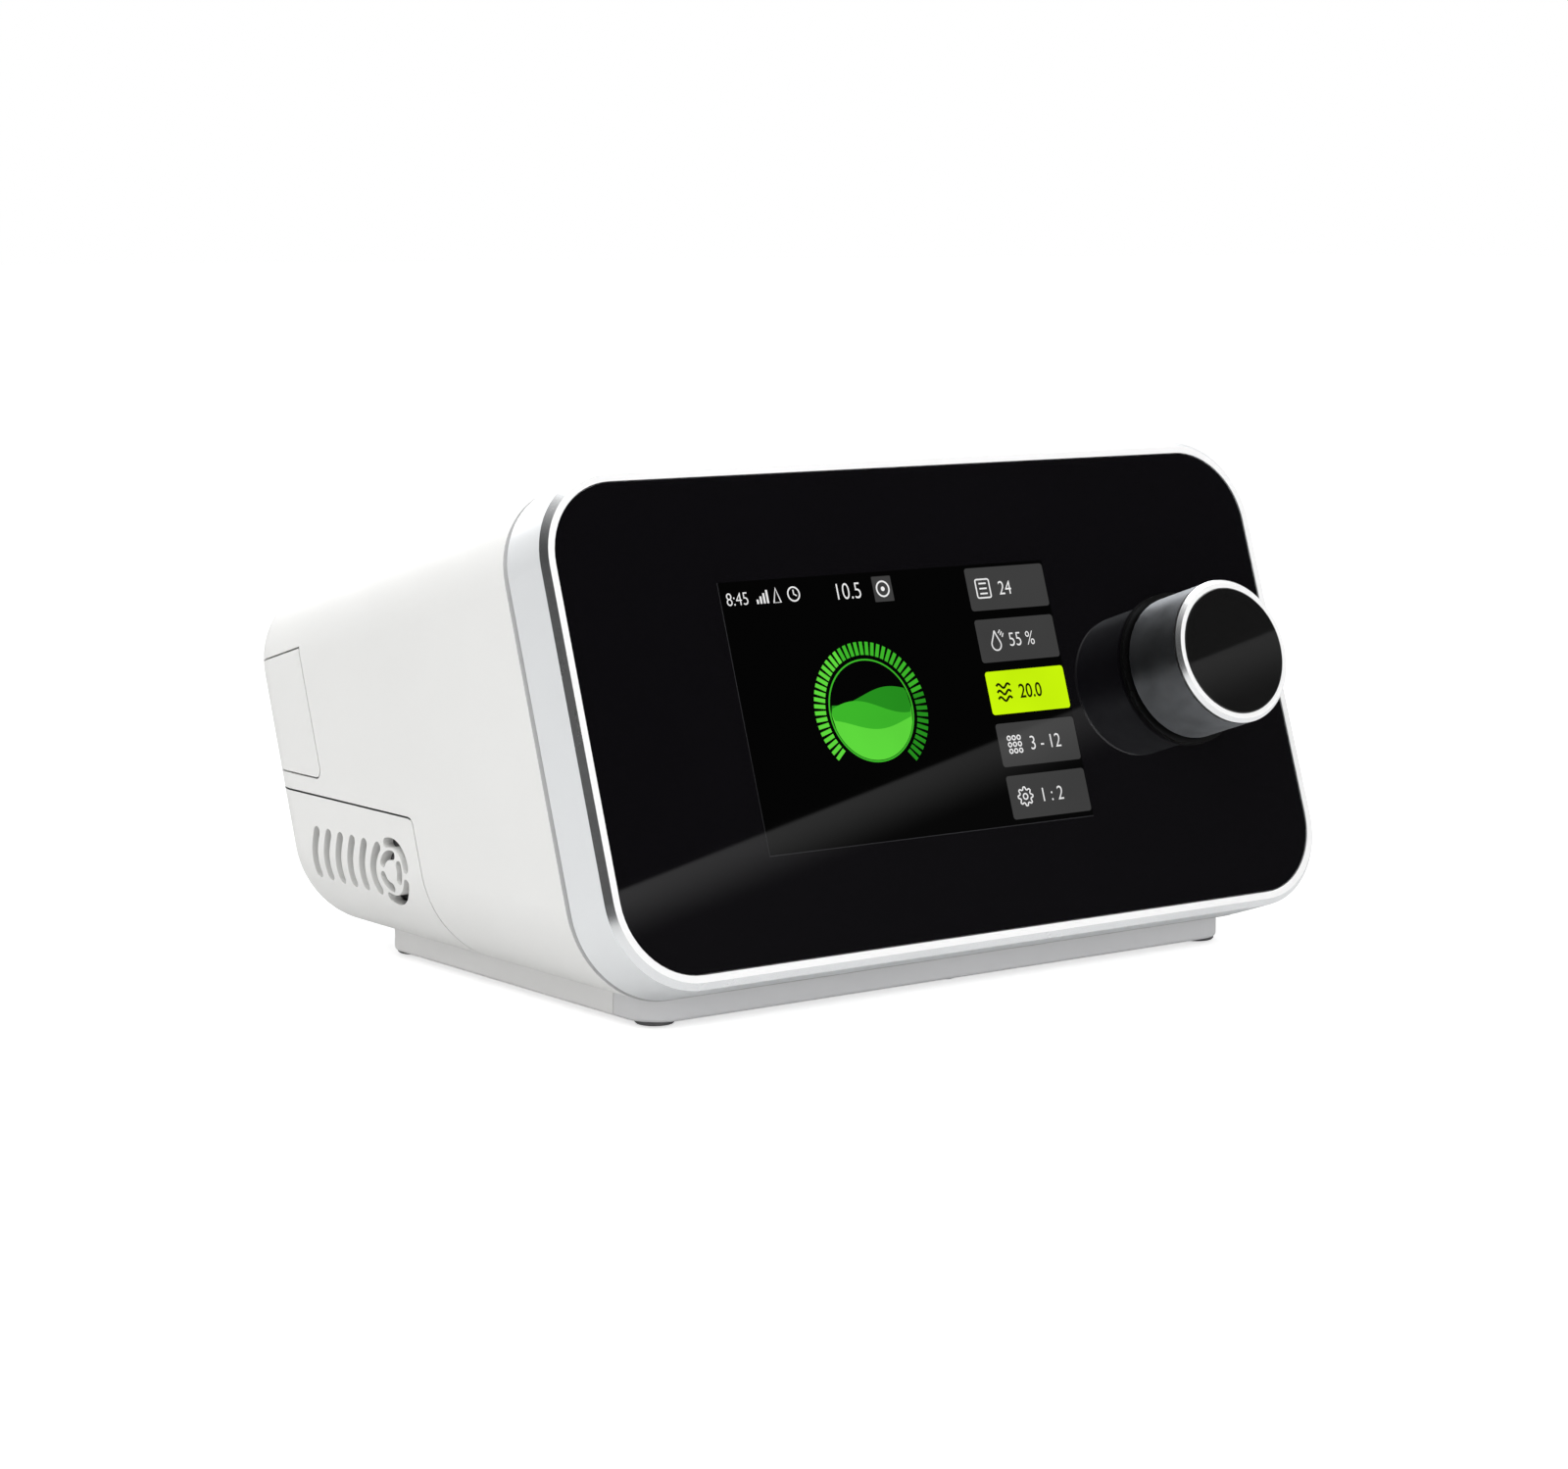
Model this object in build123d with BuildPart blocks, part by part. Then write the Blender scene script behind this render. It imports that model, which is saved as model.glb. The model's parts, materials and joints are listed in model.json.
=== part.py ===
from build123d import *
from math import cos, radians, sin, tan
import os

# A table-top breathing-support machine, in millimetres.
# The origin is the centre of its footprint on the table, +Z is up,
# the front faces -Y and leans back, and +X is to the right of a user.

# Overall form
body_width = 190.0
front_height = 105.4  # measured up the leaning front
front_lean = 18.5  # degrees from upright, the rear leans the same way
top_fall = 15.2  # degrees that the top drops toward the rear
under_length = 115.0  # level underside, from the bezel seam to the rear
edge_radius = 19.0  # the long edges that run from front to rear
rear_radius = 10.0
wall = 2.5
under_z = 5.75
bezel_bottom_y = -66.9
fit_gap = 0.3  # clearance between pieces that are only laid together
seam_gap = 0.4  # visible joint round a cover

# Base
foot_height = 0.8
foot_radius = 4.1
base_width = 158.5
base_length = 102.6
base_radius = 8.0
base_floor = 2.4
base_wall = 2.2
base_rim = 17.5  # how far the case opening lies inside the base
front_strip = 12.2
base_seam = 0.2
foot_inset_x = 5.6
foot_inset_y = 5.6
foot_recess = 0.6
nub_radius = 1.4  # a small pip under the middle of the front strip
nub_height = 0.5
nub_inset = 3.5
post_radius = 3.5
post_across = 50.0
post_along = 26.0
pillar_radius = 4.0
base_screw_across = 48.0
base_screw_front_inset = 7.7  # from the edges of the base
base_screw_back_inset = 7.85
base_screw_side_inset = 8.85
boss_height = 2.8
boss_radius = 3.4

# Front ring, glass and display
bezel_depth = 15.1
bezel_lip = 2.8
bezel_chamfer = 1.3
bezel_tongue = 4.0
bezel_wall = 4.5
tongue_wall = 1.6
shelf_width = 5.7
shelf_thickness = 2.0
glass_thickness = 2.0
glass_recess = 0.2
glass_gap = 0.25
screen_width = 86.0
screen_height = 56.0
screen_across = -11.9
screen_up = 52.4  # above the lower edge of the bezel
cell_border = 3.0
cell_thickness = 1.4
light_border = 4.2
light_thickness = 2.6
bracket_thickness = 5.6
flange_thickness = 1.8
flange_width = 3.0
board_thickness = 1.6
display_board_width = 150.0
display_board_height = 84.0
display_board_across = 4.0

# Control knob
knob_from_side = 30.7
knob_up = 54.0
knob_radius = 15.8
knob_length = 14.6
knob_wall = 2.2
rim_height = 1.5
rim_step = 1.9
rim_chamfer = 0.8
cap_proud = 0.2
cap_edge = 0.25
knob_lift = 1.7
base_ring_radius = 17.0
base_ring_height = 0.9
shaft_radius = 3.0
shaft_clearance = 0.05
press_travel = 0.6
encoder_size = 14.0
encoder_depth = 5.0
encoder_floor = 0.6
encoder_bore = 4.0
bushing_radius = 4.5
bushing_lip = 0.7
plunger_radius = 1.6
plunger_length = 1.2
dome_height = 0.4

# Filter cover on the lower left rear corner
vent_top_z = 36.15
vent_front_y = 11.5
vent_corner = 2.5
cover_side = 16.0  # reach of the cover under the body
cover_rear = 45.0  # reach of a cover across the rear face
grille_y = 20.4
grille_z = 23.55
grille_outer = 6.2
grille_inner = 3.5
grille_slot = 2.1
louvre_width = 2.5
louvre_count = 5
louvre_pitch = 4.98
louvre_first_y = 32.25
louvre_radius = 17.0
louvre_half = 15.4  # degrees each way from the middle of a louvre
louvre_turn = 4.0  # degrees that a louvre leans to the front
near_louvre_y = 27.6
near_louvre_radius = 7.65
near_louvre_half = 36.5
vent_cut_depth = 5.1  # the slots go through the curve at the foot of the wall

# Port cover on the upper left rear corner
port_top_z = 67.75
port_bottom_z = 39.55
port_front_y = 48.4
port_corner = 2.0
port_rear = 32.0

# Filters and inlet duct
filter_thickness = 3.9
filter_length = 40.0
filter_height = 16.0
filter_middle_y = 35.0
filter_middle_z = 25.55
filter_inset = 4.8  # outer face of the foam, in from the side of the body
fine_thickness = 1.8
rib_thickness = 1.2
duct_wall = 2.0
duct_lip = 2.0
duct_window_y = 26.0
duct_window_length = 18.0

# Chassis and blower box
chassis_z = 9.55
chassis_thickness = 2.0
chassis_width = 122.0
chassis_length = 70.0
chassis_across = 1.0
chassis_radius = 6.0
cradle_y = 18.0
cradle_length = 5.0
box_width = 72.0
box_length = 74.0
box_height = 47.0
box_across = -14.0
box_along = 4.0
box_wall = 2.0
lid_thickness = 2.0
foam_thickness = 5.0

# Blower
scroll_radius = 25.0
scroll_height = 18.0
scroll_wall = 1.8
eye_radius = 9.0
outlet_reach = 6.0
wheel_radius = 21.0
wheel_height = 9.0
wheel_disc = 1.6
blade_count = 11
blade_thickness = 1.2
hub_radius = 4.0
motor_radius = 15.0
motor_height = 20.0
motor_wall = 1.4
motor_floor = 1.6
bearing_seat = 2.0
spindle_radius = 1.5
bearing_radius = 4.0
bearing_height = 3.0
magnet_radius = 5.0
magnet_height = 9.0
stator_bore = 5.6
stator_ring = 2.5
tooth_count = 6
tooth_width = 3.4
coil_width = 5.4
boot_floor = 2.0
boot_wall = 2.5
boot_height = 10.0
wheel_lift = 1.5

# Outlet
port_radius = 11.0
port_bore = 9.0
port_from_side = 43.0
port_length = 16.2  # free length of the spigot beyond its collar
port_collar = 12.5
port_proud = 0.6
port_flange = 15.0
port_seat_y = 59.0
port_plate = 3.0
port_boss_radius = 15.5
tube_radius = 8.4
tube_wall = 1.5
tube_start_y = 9.0
elbow_radius = 18.0
sleeve_wall = 1.8
sleeve_lap = 4.0
sleeve_clearance = 0.1
seal_height = 2.0
seal_wall = 2.5
sensor_size = 16.0
sensor_height = 3.0
sensor_y = 36.0
hose_radius = 1.5
hose_spacing = 8.0

# Electronics
main_board_width = 112.0
main_board_length = 66.0
main_board_across = 0.0
main_board_along = 8.0
standoff_height = 5.0
standoff_radius = 2.6
standoff_inset = 5.0
screw_radius = 1.3
screw_head = 2.6
screw_head_height = 1.6
screw_clearance = 0.05
jack_from_side = 19.0
jack_z = 22.55
jack_bore = 3.3
jack_pin = 1.0
jack_depth = 9.0
jack_radius = 5.3
jack_flange = 7.5
jack_plate = 3.0
jack_seat_y = 56.0
jack_inset = 1.0
speaker_radius = 10.0
speaker_height = 8.0
speaker_across = 36.0
speaker_along = -15.0
service_board_inset = 24.5
service_board_front = 34.0
service_board_length = 34.0
service_board_height = 27.0
card_socket = (16.0, 14.0, 3.0)
card_socket_y = 63.0
card_socket_z = 55.05
data_socket = (14.0, 10.0, 5.0)
data_socket_y = 62.0
data_socket_z = 47.05
flex_width = 22.0
flex_thickness = 0.4
flex_across = -22.0
flex_up = 62.0
flex_lap = 8.0
flex_slope = 6.0  # the bends before the main board lie this far ahead of its edge
flex_rise = 3.0
flex_flat = 1.5
flex_seat = 5.0
cell_radius = 8.0
cell_height = 3.2

# Places that follow from the sizes above
half_width = body_width / 2
knob_across = half_width - knob_from_side
port_across = half_width - port_from_side
jack_across = half_width - jack_from_side
sine = sin(radians(front_lean))
cosine = cos(radians(front_lean))
lean = tan(radians(front_lean))
fall = tan(radians(top_fall))
bezel_bottom_z = under_z + bezel_depth * sine
face = Plane(origin=(0, bezel_bottom_y, bezel_bottom_z), x_dir=(1, 0, 0), z_dir=(0, -cosine, sine))
seam_bottom_y = bezel_bottom_y + bezel_depth * cosine
seam_top_y = seam_bottom_y + front_height * sine
seam_top_z = under_z + front_height * cosine
rear_bottom_y = seam_bottom_y + under_length
glass_width = body_width - 2 * bezel_lip
glass_height = front_height - 2 * bezel_lip
glass_radius = edge_radius - bezel_lip
glass_back = glass_recess + glass_thickness
chassis_top = chassis_z + chassis_thickness
box_top = chassis_top + box_height
lid_top = box_top + lid_thickness
board_z = lid_top + standoff_height
base_floor_top = foot_height + base_floor
duct_height = filter_height + 2 * duct_wall
duct_length = filter_length + 2 * duct_wall
duct_top = filter_middle_z + duct_height / 2
base_half_length = base_length / 2
base_screw_front = base_half_length - base_screw_front_inset
base_screw_back = base_half_length - base_screw_back_inset
base_screw_side = base_width / 2 - base_screw_side_inset
front_seam_y = front_strip - base_half_length
board_front = glass_back + bracket_thickness
board_back = board_front + board_thickness
tube_bore = tube_radius - tube_wall
motor_z = chassis_top + box_wall + boot_floor
scroll_z = motor_z + motor_height
outlet_z = scroll_z + scroll_height / 2
outlet_y = box_along - scroll_radius + scroll_wall + tube_bore
box_left = box_across - box_width / 2
box_right = box_across + box_width / 2
outlet_end = box_right + outlet_reach


def rear_y(z):
    """Where the outside of the leaning rear face is at a height."""
    return rear_bottom_y + (z - under_z) * lean


def top_z(y):
    """Where the outside of the falling top is at a depth."""
    return seam_top_z - (y - seam_top_y) * fall


def side_corners(inset, reach):
    """Side outline of the case moved in by inset, and forward past its seam by reach."""
    low = under_z + inset
    front_foot = seam_bottom_y + (low - under_z) * lean - reach / cosine
    drop = inset / cos(radians(top_fall))
    # the front line meets the top line
    front_rise = (top_z(front_foot) - drop - low) / (1 + lean * fall)
    high_front = (front_foot + front_rise * lean, low + front_rise)
    # the rear line meets the top line
    rear_foot = rear_y(low) - inset / cosine
    rear_rise = (top_z(rear_foot) - drop - low) / (1 + lean * fall)
    high_rear = (rear_foot + rear_rise * lean, low + rear_rise)
    return [(front_foot, low), high_front, high_rear, (rear_foot, low)]


def case_form(inset, reach):
    """The rounded wedge of the case, or its hollow when moved in."""
    side = half_width - inset
    with BuildPart() as form:
        with BuildSketch(Plane.YZ):
            with BuildLine():
                Polyline(*side_corners(inset, reach), close=True)
            make_face()
        extrude(amount=side, both=True)
        for place in (-side, side):
            rim = form.edges().filter_by_position(Axis.X, place - 0.01, place + 0.01)
            fillet([rim.sort_by(Axis.Z)[0], rim.sort_by(Axis.Z)[-1]], radius=edge_radius - inset)
        rear = form.faces().sort_by(Axis.Y)[-1]
        fillet(rear.edges(), radius=rear_radius - inset)
    return form.part


outer_form = case_form(0, 0)
inner_form = case_form(wall, 6.0)
rear_plane_y = rear_y(under_z) - wall / cosine - rear_radius * 0.4


def cover_zone(corners, round_corner, corner_radius, gap, rear_reach):
    """The space of a cover that wraps the left rear corner, made smaller by gap."""
    left = -half_width - 1
    with BuildPart() as zone:
        with BuildSketch(Plane.YZ.offset(left)) as outline:
            with BuildLine():
                Polyline(*corners, close=True)
            make_face()
            fillet(outline.vertices().sort_by_distance(corners[round_corner])[0], radius=corner_radius)
            if gap:
                offset(amount=-gap, kind=Kind.INTERSECTION)
        extrude(amount=1 + cover_side - gap)
        # the part on the rear wall lies behind a plane that leans with it
        with BuildSketch(Plane.YZ.offset(left)):
            with BuildLine():
                Polyline(
                    (rear_plane_y - 20 * lean, under_z - 20),
                    (rear_plane_y + 100 * lean, under_z + 100),
                    (rear_plane_y + 150, under_z + 100),
                    (rear_plane_y + 150, under_z - 20),
                    close=True,
                )
            make_face()
            add(outline.sketch_local, mode=Mode.INTERSECT)
        extrude(amount=1 + rear_reach - gap)
    return zone.part


vent_corners = [
    (vent_front_y, vent_top_z),
    (vent_front_y + 110, vent_top_z),
    (vent_front_y + 110, -5),
    (vent_front_y - (vent_top_z + 5) * lean, -5),
]
port_top_y = port_front_y + (port_top_z - port_bottom_z) * lean
port_corners = [
    (port_front_y, port_bottom_z),
    (port_top_y, port_top_z),
    (port_top_y + 60, port_top_z - 60 * fall),
    (port_top_y + 60, port_bottom_z),
]
back_plane = Plane(origin=(0, 0, 0), x_dir=(-1, 0, 0), z_dir=(0, 1, 0))  # faces the rear, local X is -X


def at_rear(y):
    """A plane facing the rear at depth y, with sketch X along -X and sketch Y along +Z."""
    return back_plane.offset(y)


# Case, one shell open at the front
with BuildPart() as wall_bosses:
    with BuildSketch(at_rear(port_seat_y)):
        with Locations((-port_across, outlet_z)):
            Circle(port_boss_radius)
    extrude(amount=60)
    with BuildSketch(at_rear(jack_seat_y)):
        with Locations((-jack_across, jack_z)):
            Circle(jack_flange)
    extrude(amount=60)
    add(outer_form, mode=Mode.INTERSECT)
with BuildPart() as main_case:
    add(outer_form)
    add(inner_form, mode=Mode.SUBTRACT)
    add(wall_bosses.part)
    # bosses on the floor for the base screws
    with BuildSketch(Plane.XY.offset(under_z + wall / 2)):
        with GridLocations(2 * base_screw_across, base_screw_front + base_screw_back, 2, 2):
            with Locations((0, (base_screw_back - base_screw_front) / 2)):
                Circle(boss_radius)
        with GridLocations(2 * base_screw_side, 1, 2, 1):
            Circle(boss_radius)
    extrude(amount=wall / 2 + boss_height)
    with BuildSketch(Plane.XY.offset(under_z)):
        with GridLocations(2 * base_screw_across, base_screw_front + base_screw_back, 2, 2):
            with Locations((0, (base_screw_back - base_screw_front) / 2)):
                Circle(screw_radius + screw_clearance)
        with GridLocations(2 * base_screw_side, 1, 2, 1):
            Circle(screw_radius + screw_clearance)
    extrude(amount=wall + boss_height - 0.6, mode=Mode.SUBTRACT)
    # the opening that the base closes
    with BuildSketch(Plane.XY.offset(under_z - 1)):
        RectangleRounded(base_width - 2 * base_rim, base_length - 2 * base_rim, base_radius / 2)
    extrude(amount=wall + 2, mode=Mode.SUBTRACT)
    with BuildSketch(at_rear(jack_seat_y - 1)):
        with Locations((-port_across, outlet_z)):
            Circle(port_collar + fit_gap)
        with Locations((-jack_across, jack_z)):
            Circle(jack_radius + fit_gap)
    extrude(amount=80, mode=Mode.SUBTRACT)
    add(cover_zone(vent_corners, 0, vent_corner, 0, cover_rear), mode=Mode.SUBTRACT)
    add(cover_zone(port_corners, 0, port_corner, 0, port_rear), mode=Mode.SUBTRACT)

# Front ring with its shelf for the glass and its tongue in the case
with BuildPart() as tongue:
    add(case_form(wall + fit_gap, 1.5))
    add(case_form(wall + fit_gap + tongue_wall, 6.0), mode=Mode.SUBTRACT)
    with BuildSketch(face.offset(-bezel_depth - bezel_tongue)):
        with Locations((0, front_height / 2)):
            Rectangle(2 * body_width, 2 * front_height)
    extrude(amount=bezel_tongue + 1.0, mode=Mode.INTERSECT)
with BuildPart() as front_bezel:
    with BuildSketch(face):
        with Locations((0, front_height / 2)):
            RectangleRounded(body_width, front_height, edge_radius)
    extrude(amount=-(bezel_depth - fit_gap))
    chamfer(front_bezel.faces().sort_by(Axis.Y)[0].edges(), length=bezel_chamfer)
    add(tongue.part)
    with BuildSketch(face):
        with Locations((0, front_height / 2)):
            RectangleRounded(glass_width, glass_height, glass_radius)
    extrude(amount=-glass_back, mode=Mode.SUBTRACT)
    with BuildSketch(face):
        with Locations((0, front_height / 2)):
            RectangleRounded(
                glass_width - 2 * shelf_width, glass_height - 2 * shelf_width, glass_radius - shelf_width
            )
    extrude(amount=-(glass_back + shelf_thickness + 1), mode=Mode.SUBTRACT)
    with BuildSketch(face.offset(-glass_back - shelf_thickness)):
        with Locations((0, front_height / 2)):
            RectangleRounded(
                body_width - 2 * bezel_wall, front_height - 2 * bezel_wall, edge_radius - bezel_wall
            )
    extrude(amount=-(bezel_depth + bezel_tongue), mode=Mode.SUBTRACT)

# Glass over the whole front, with a hole for the encoder
with BuildPart() as front_glass:
    with BuildSketch(face.offset(-glass_back)):
        with Locations((0, front_height / 2)):
            RectangleRounded(
                glass_width - 2 * glass_gap, glass_height - 2 * glass_gap, glass_radius - glass_gap
            )
        with Locations((knob_across, knob_up)):
            Circle(bushing_radius + fit_gap, mode=Mode.SUBTRACT)
    extrude(amount=glass_thickness)

# Display cell against the glass, with its light unit behind
with BuildPart() as display_cell:
    with BuildSketch(face.offset(-glass_back)):
        with Locations((screen_across, screen_up)):
            Rectangle(screen_width + 2 * cell_border, screen_height + 2 * cell_border)
    extrude(amount=-cell_thickness)
with BuildPart() as display_light:
    with BuildSketch(face.offset(-glass_back - cell_thickness)):
        with Locations((screen_across, screen_up)):
            Rectangle(screen_width + 2 * light_border, screen_height + 2 * light_border)
    extrude(amount=-light_thickness)
    fillet(display_light.edges().filter_by(lambda e: abs(e.tangent_at(0.5).Y) > 0.9), radius=1.0)

# Bracket behind the glass, held by the shelf
with BuildPart() as display_bracket:
    with BuildSketch(face.offset(-glass_back)):
        with Locations((0, front_height / 2)):
            RectangleRounded(
                glass_width - 2 * (shelf_width + fit_gap),
                glass_height - 2 * (shelf_width + fit_gap),
                glass_radius - shelf_width - fit_gap,
            )
    extrude(amount=-bracket_thickness)
    with BuildSketch(face.offset(-glass_back - shelf_thickness)):
        with Locations((0, front_height / 2)):
            RectangleRounded(
                glass_width - 2 * (shelf_width - flange_width),
                glass_height - 2 * (shelf_width - flange_width),
                glass_radius - shelf_width + flange_width,
            )
    extrude(amount=-flange_thickness)
    with BuildSketch(face.offset(-glass_back)):
        with Locations((screen_across, screen_up)):
            Rectangle(
                screen_width + 2 * (light_border + fit_gap), screen_height + 2 * (light_border + fit_gap)
            )
        with Locations((knob_across, knob_up)):
            Rectangle(encoder_size + 2 * fit_gap, encoder_size + 2 * fit_gap)
    extrude(amount=-bracket_thickness, mode=Mode.SUBTRACT)
    with BuildSketch(face.offset(-board_front)):
        with Locations((display_board_across, screen_up)):
            with GridLocations(display_board_width - 10, display_board_height - 8, 2, 2):
                Circle(screw_radius + screw_clearance)
    extrude(amount=4, mode=Mode.SUBTRACT)
with BuildPart() as display_board:
    with BuildSketch(face.offset(-board_front)):
        with Locations((display_board_across, screen_up)):
            RectangleRounded(display_board_width, display_board_height, 3)
            with GridLocations(display_board_width - 10, display_board_height - 8, 2, 2):
                Circle(screw_radius + screw_clearance, mode=Mode.SUBTRACT)
    extrude(amount=-board_thickness)
with BuildPart() as display_screws:
    with BuildSketch(face.offset(-board_back)):
        with Locations((display_board_across, screen_up)):
            with GridLocations(display_board_width - 10, display_board_height - 8, 2, 2):
                Circle(screw_head)
    extrude(amount=-screw_head_height)
    with BuildSketch(face.offset(-board_back)):
        with Locations((display_board_across, screen_up)):
            with GridLocations(display_board_width - 10, display_board_height - 8, 2, 2):
                Circle(screw_radius)
    extrude(amount=board_thickness + 3.5)

# Rotary encoder with its press switch
knob_spot = (knob_across, knob_up)
encoder_front = board_front - encoder_depth
encoder_bed = board_front - encoder_floor
plunger_foot = encoder_bed - dome_height - press_travel - 0.1
shaft_foot = plunger_foot - plunger_length
with BuildPart() as encoder_body:
    with BuildSketch(face.offset(-board_front)):
        with Locations(knob_spot):
            RectangleRounded(encoder_size, encoder_size, 1)
    extrude(amount=encoder_depth)
    with BuildSketch(face.offset(-encoder_bed)):
        with Locations(knob_spot):
            Circle(encoder_bore)
    extrude(amount=encoder_depth, mode=Mode.SUBTRACT)
with BuildPart() as encoder_bushing:
    with BuildSketch(face.offset(-encoder_front)):
        with Locations(knob_spot):
            Circle(bushing_radius)
            Circle(shaft_radius + shaft_clearance, mode=Mode.SUBTRACT)
    extrude(amount=encoder_front - glass_recess + bushing_lip)
with BuildPart() as press_dome:
    with BuildSketch(face.offset(-encoder_bed)):
        with Locations(knob_spot):
            Circle(encoder_bore - 1)
    extrude(amount=dome_height, taper=45)
with BuildPart() as press_plunger:
    with BuildSketch(face.offset(-plunger_foot)):
        with Locations(knob_spot):
            Circle(plunger_radius)
    extrude(amount=plunger_length)

# Knob: shaft, hollow body, bright rim and dark cap
knob_foot = knob_lift - glass_recess
knob_web = knob_foot + knob_length
with BuildPart() as encoder_shaft:
    with BuildSketch(face.offset(-shaft_foot)):
        with Locations(knob_spot):
            Circle(shaft_radius)
    extrude(amount=shaft_foot + knob_web - knob_wall)
with BuildPart() as knob_body:
    with BuildSketch(face.offset(knob_foot)):
        with Locations(knob_spot):
            Circle(knob_radius)
    extrude(amount=knob_length)
    with BuildSketch(face.offset(knob_foot)):
        with Locations(knob_spot):
            Circle(knob_radius - knob_wall)
            Circle(shaft_radius + knob_wall, mode=Mode.SUBTRACT)
    extrude(amount=knob_length - knob_wall, mode=Mode.SUBTRACT)
    with BuildSketch(face.offset(knob_foot)):
        with Locations(knob_spot):
            Circle(shaft_radius + shaft_clearance)
    extrude(amount=knob_length - knob_wall, mode=Mode.SUBTRACT)
with BuildPart() as knob_rim:
    with BuildSketch(face.offset(knob_web)):
        with Locations(knob_spot):
            Circle(knob_radius)
            Circle(knob_radius - rim_step, mode=Mode.SUBTRACT)
    extrude(amount=rim_height)
    chamfer(knob_rim.faces().sort_by(Axis.Y)[0].outer_wire().edges(), length=rim_chamfer)
with BuildPart() as knob_cap:
    with BuildSketch(face.offset(knob_web)):
        with Locations(knob_spot):
            Circle(knob_radius - rim_step - shaft_clearance)
    extrude(amount=rim_height + cap_proud)
    fillet(knob_cap.faces().sort_by(Axis.Y)[0].edges(), radius=cap_edge)
with BuildPart() as knob_base:
    with BuildSketch(face.offset(-glass_recess)):
        with Locations(knob_spot):
            Circle(base_ring_radius)
            Circle(bushing_radius + 1, mode=Mode.SUBTRACT)
    extrude(amount=base_ring_height)

# Filter cover with its louvres and round grille


def arc_slot(centre_y, centre_z, radius, start, end, width):
    """An arc-shaped slot in the side view; angles are measured from the rear, upward."""
    centre = Plane(origin=(centre_y, centre_z, 0))
    SlotArc(Edge.make_circle(radius, centre, start % 360, end % 360), width)


def louvre(middle_y, radius, half):
    """An upright slot that bows to the rear, with its middle at middle_y."""
    turn = radians(louvre_turn)
    centre_y = middle_y - radius * cos(turn)
    centre_z = grille_z - radius * sin(turn)
    arc_slot(centre_y, centre_z, radius, louvre_turn - half, louvre_turn + half, louvre_width)


with BuildPart() as filter_cover:
    add(outer_form)
    add(inner_form, mode=Mode.SUBTRACT)
    add(cover_zone(vent_corners, 0, vent_corner, seam_gap, cover_rear), mode=Mode.INTERSECT)
    # a rib that holds the foam off the wall
    with BuildSketch(Plane.YZ.offset(-half_width + wall / 2)):
        with Locations((filter_middle_y, filter_middle_z + filter_height / 2 - rib_thickness / 2)):
            Rectangle(filter_length - 8, rib_thickness)
    extrude(amount=filter_inset - fit_gap - wall / 2)
    with BuildSketch(Plane.YZ.offset(-half_width - 1)):
        louvre(near_louvre_y, near_louvre_radius, near_louvre_half)
        for step in range(louvre_count):
            louvre(louvre_first_y + step * louvre_pitch, louvre_radius, louvre_half)
        for start, end in ((72, 167), (198, 290)):
            arc_slot(grille_y, grille_z, grille_outer, start, end, grille_slot)
        for start, end in ((25, 100), (152, 204), (275, 337)):
            arc_slot(grille_y, grille_z, grille_inner, start, end, grille_slot)
    extrude(amount=1 + vent_cut_depth, mode=Mode.SUBTRACT)

# Port cover above it
with BuildPart() as port_cover:
    add(outer_form)
    add(inner_form, mode=Mode.SUBTRACT)
    add(cover_zone(port_corners, 0, port_corner, seam_gap, port_rear), mode=Mode.INTERSECT)

# Filters
filter_spot = (filter_middle_y, filter_middle_z)
window_spot = (duct_window_y, filter_middle_z)
duct_mouth = -half_width + filter_inset + filter_thickness + fit_gap + duct_lip
with BuildPart() as coarse_filter:
    with BuildSketch(Plane.YZ.offset(-half_width + filter_inset)):
        with Locations(filter_spot):
            RectangleRounded(filter_length, filter_height, 2)
    extrude(amount=filter_thickness)
with BuildPart() as fine_filter:
    with BuildSketch(Plane.YZ.offset(duct_mouth - fine_thickness)):
        with Locations(filter_spot):
            RectangleRounded(filter_length - fit_gap, filter_height - fit_gap, 2)
    extrude(amount=fine_thickness)
with BuildPart() as inlet_duct:
    with BuildSketch(Plane.YZ.offset(duct_mouth - duct_lip)):
        with Locations(filter_spot):
            RectangleRounded(duct_length, duct_height, 3)
            RectangleRounded(filter_length, filter_height, 2, mode=Mode.SUBTRACT)
    extrude(amount=duct_lip)
    with BuildSketch(Plane.YZ.offset(duct_mouth)):
        with Locations(filter_spot):
            RectangleRounded(duct_length, duct_height, 3)
            RectangleRounded(filter_length - 4, filter_height - 4, 1, mode=Mode.SUBTRACT)
    extrude(amount=box_left - duct_mouth)
    # end wall, with the window into the blower box
    with BuildSketch(Plane.YZ.offset(box_left - duct_wall)):
        with Locations(filter_spot):
            Rectangle(duct_length - 2, duct_height - 2)
        with Locations(window_spot):
            RectangleRounded(duct_window_length, filter_height - 6, 1, mode=Mode.SUBTRACT)
    extrude(amount=duct_wall)

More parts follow.
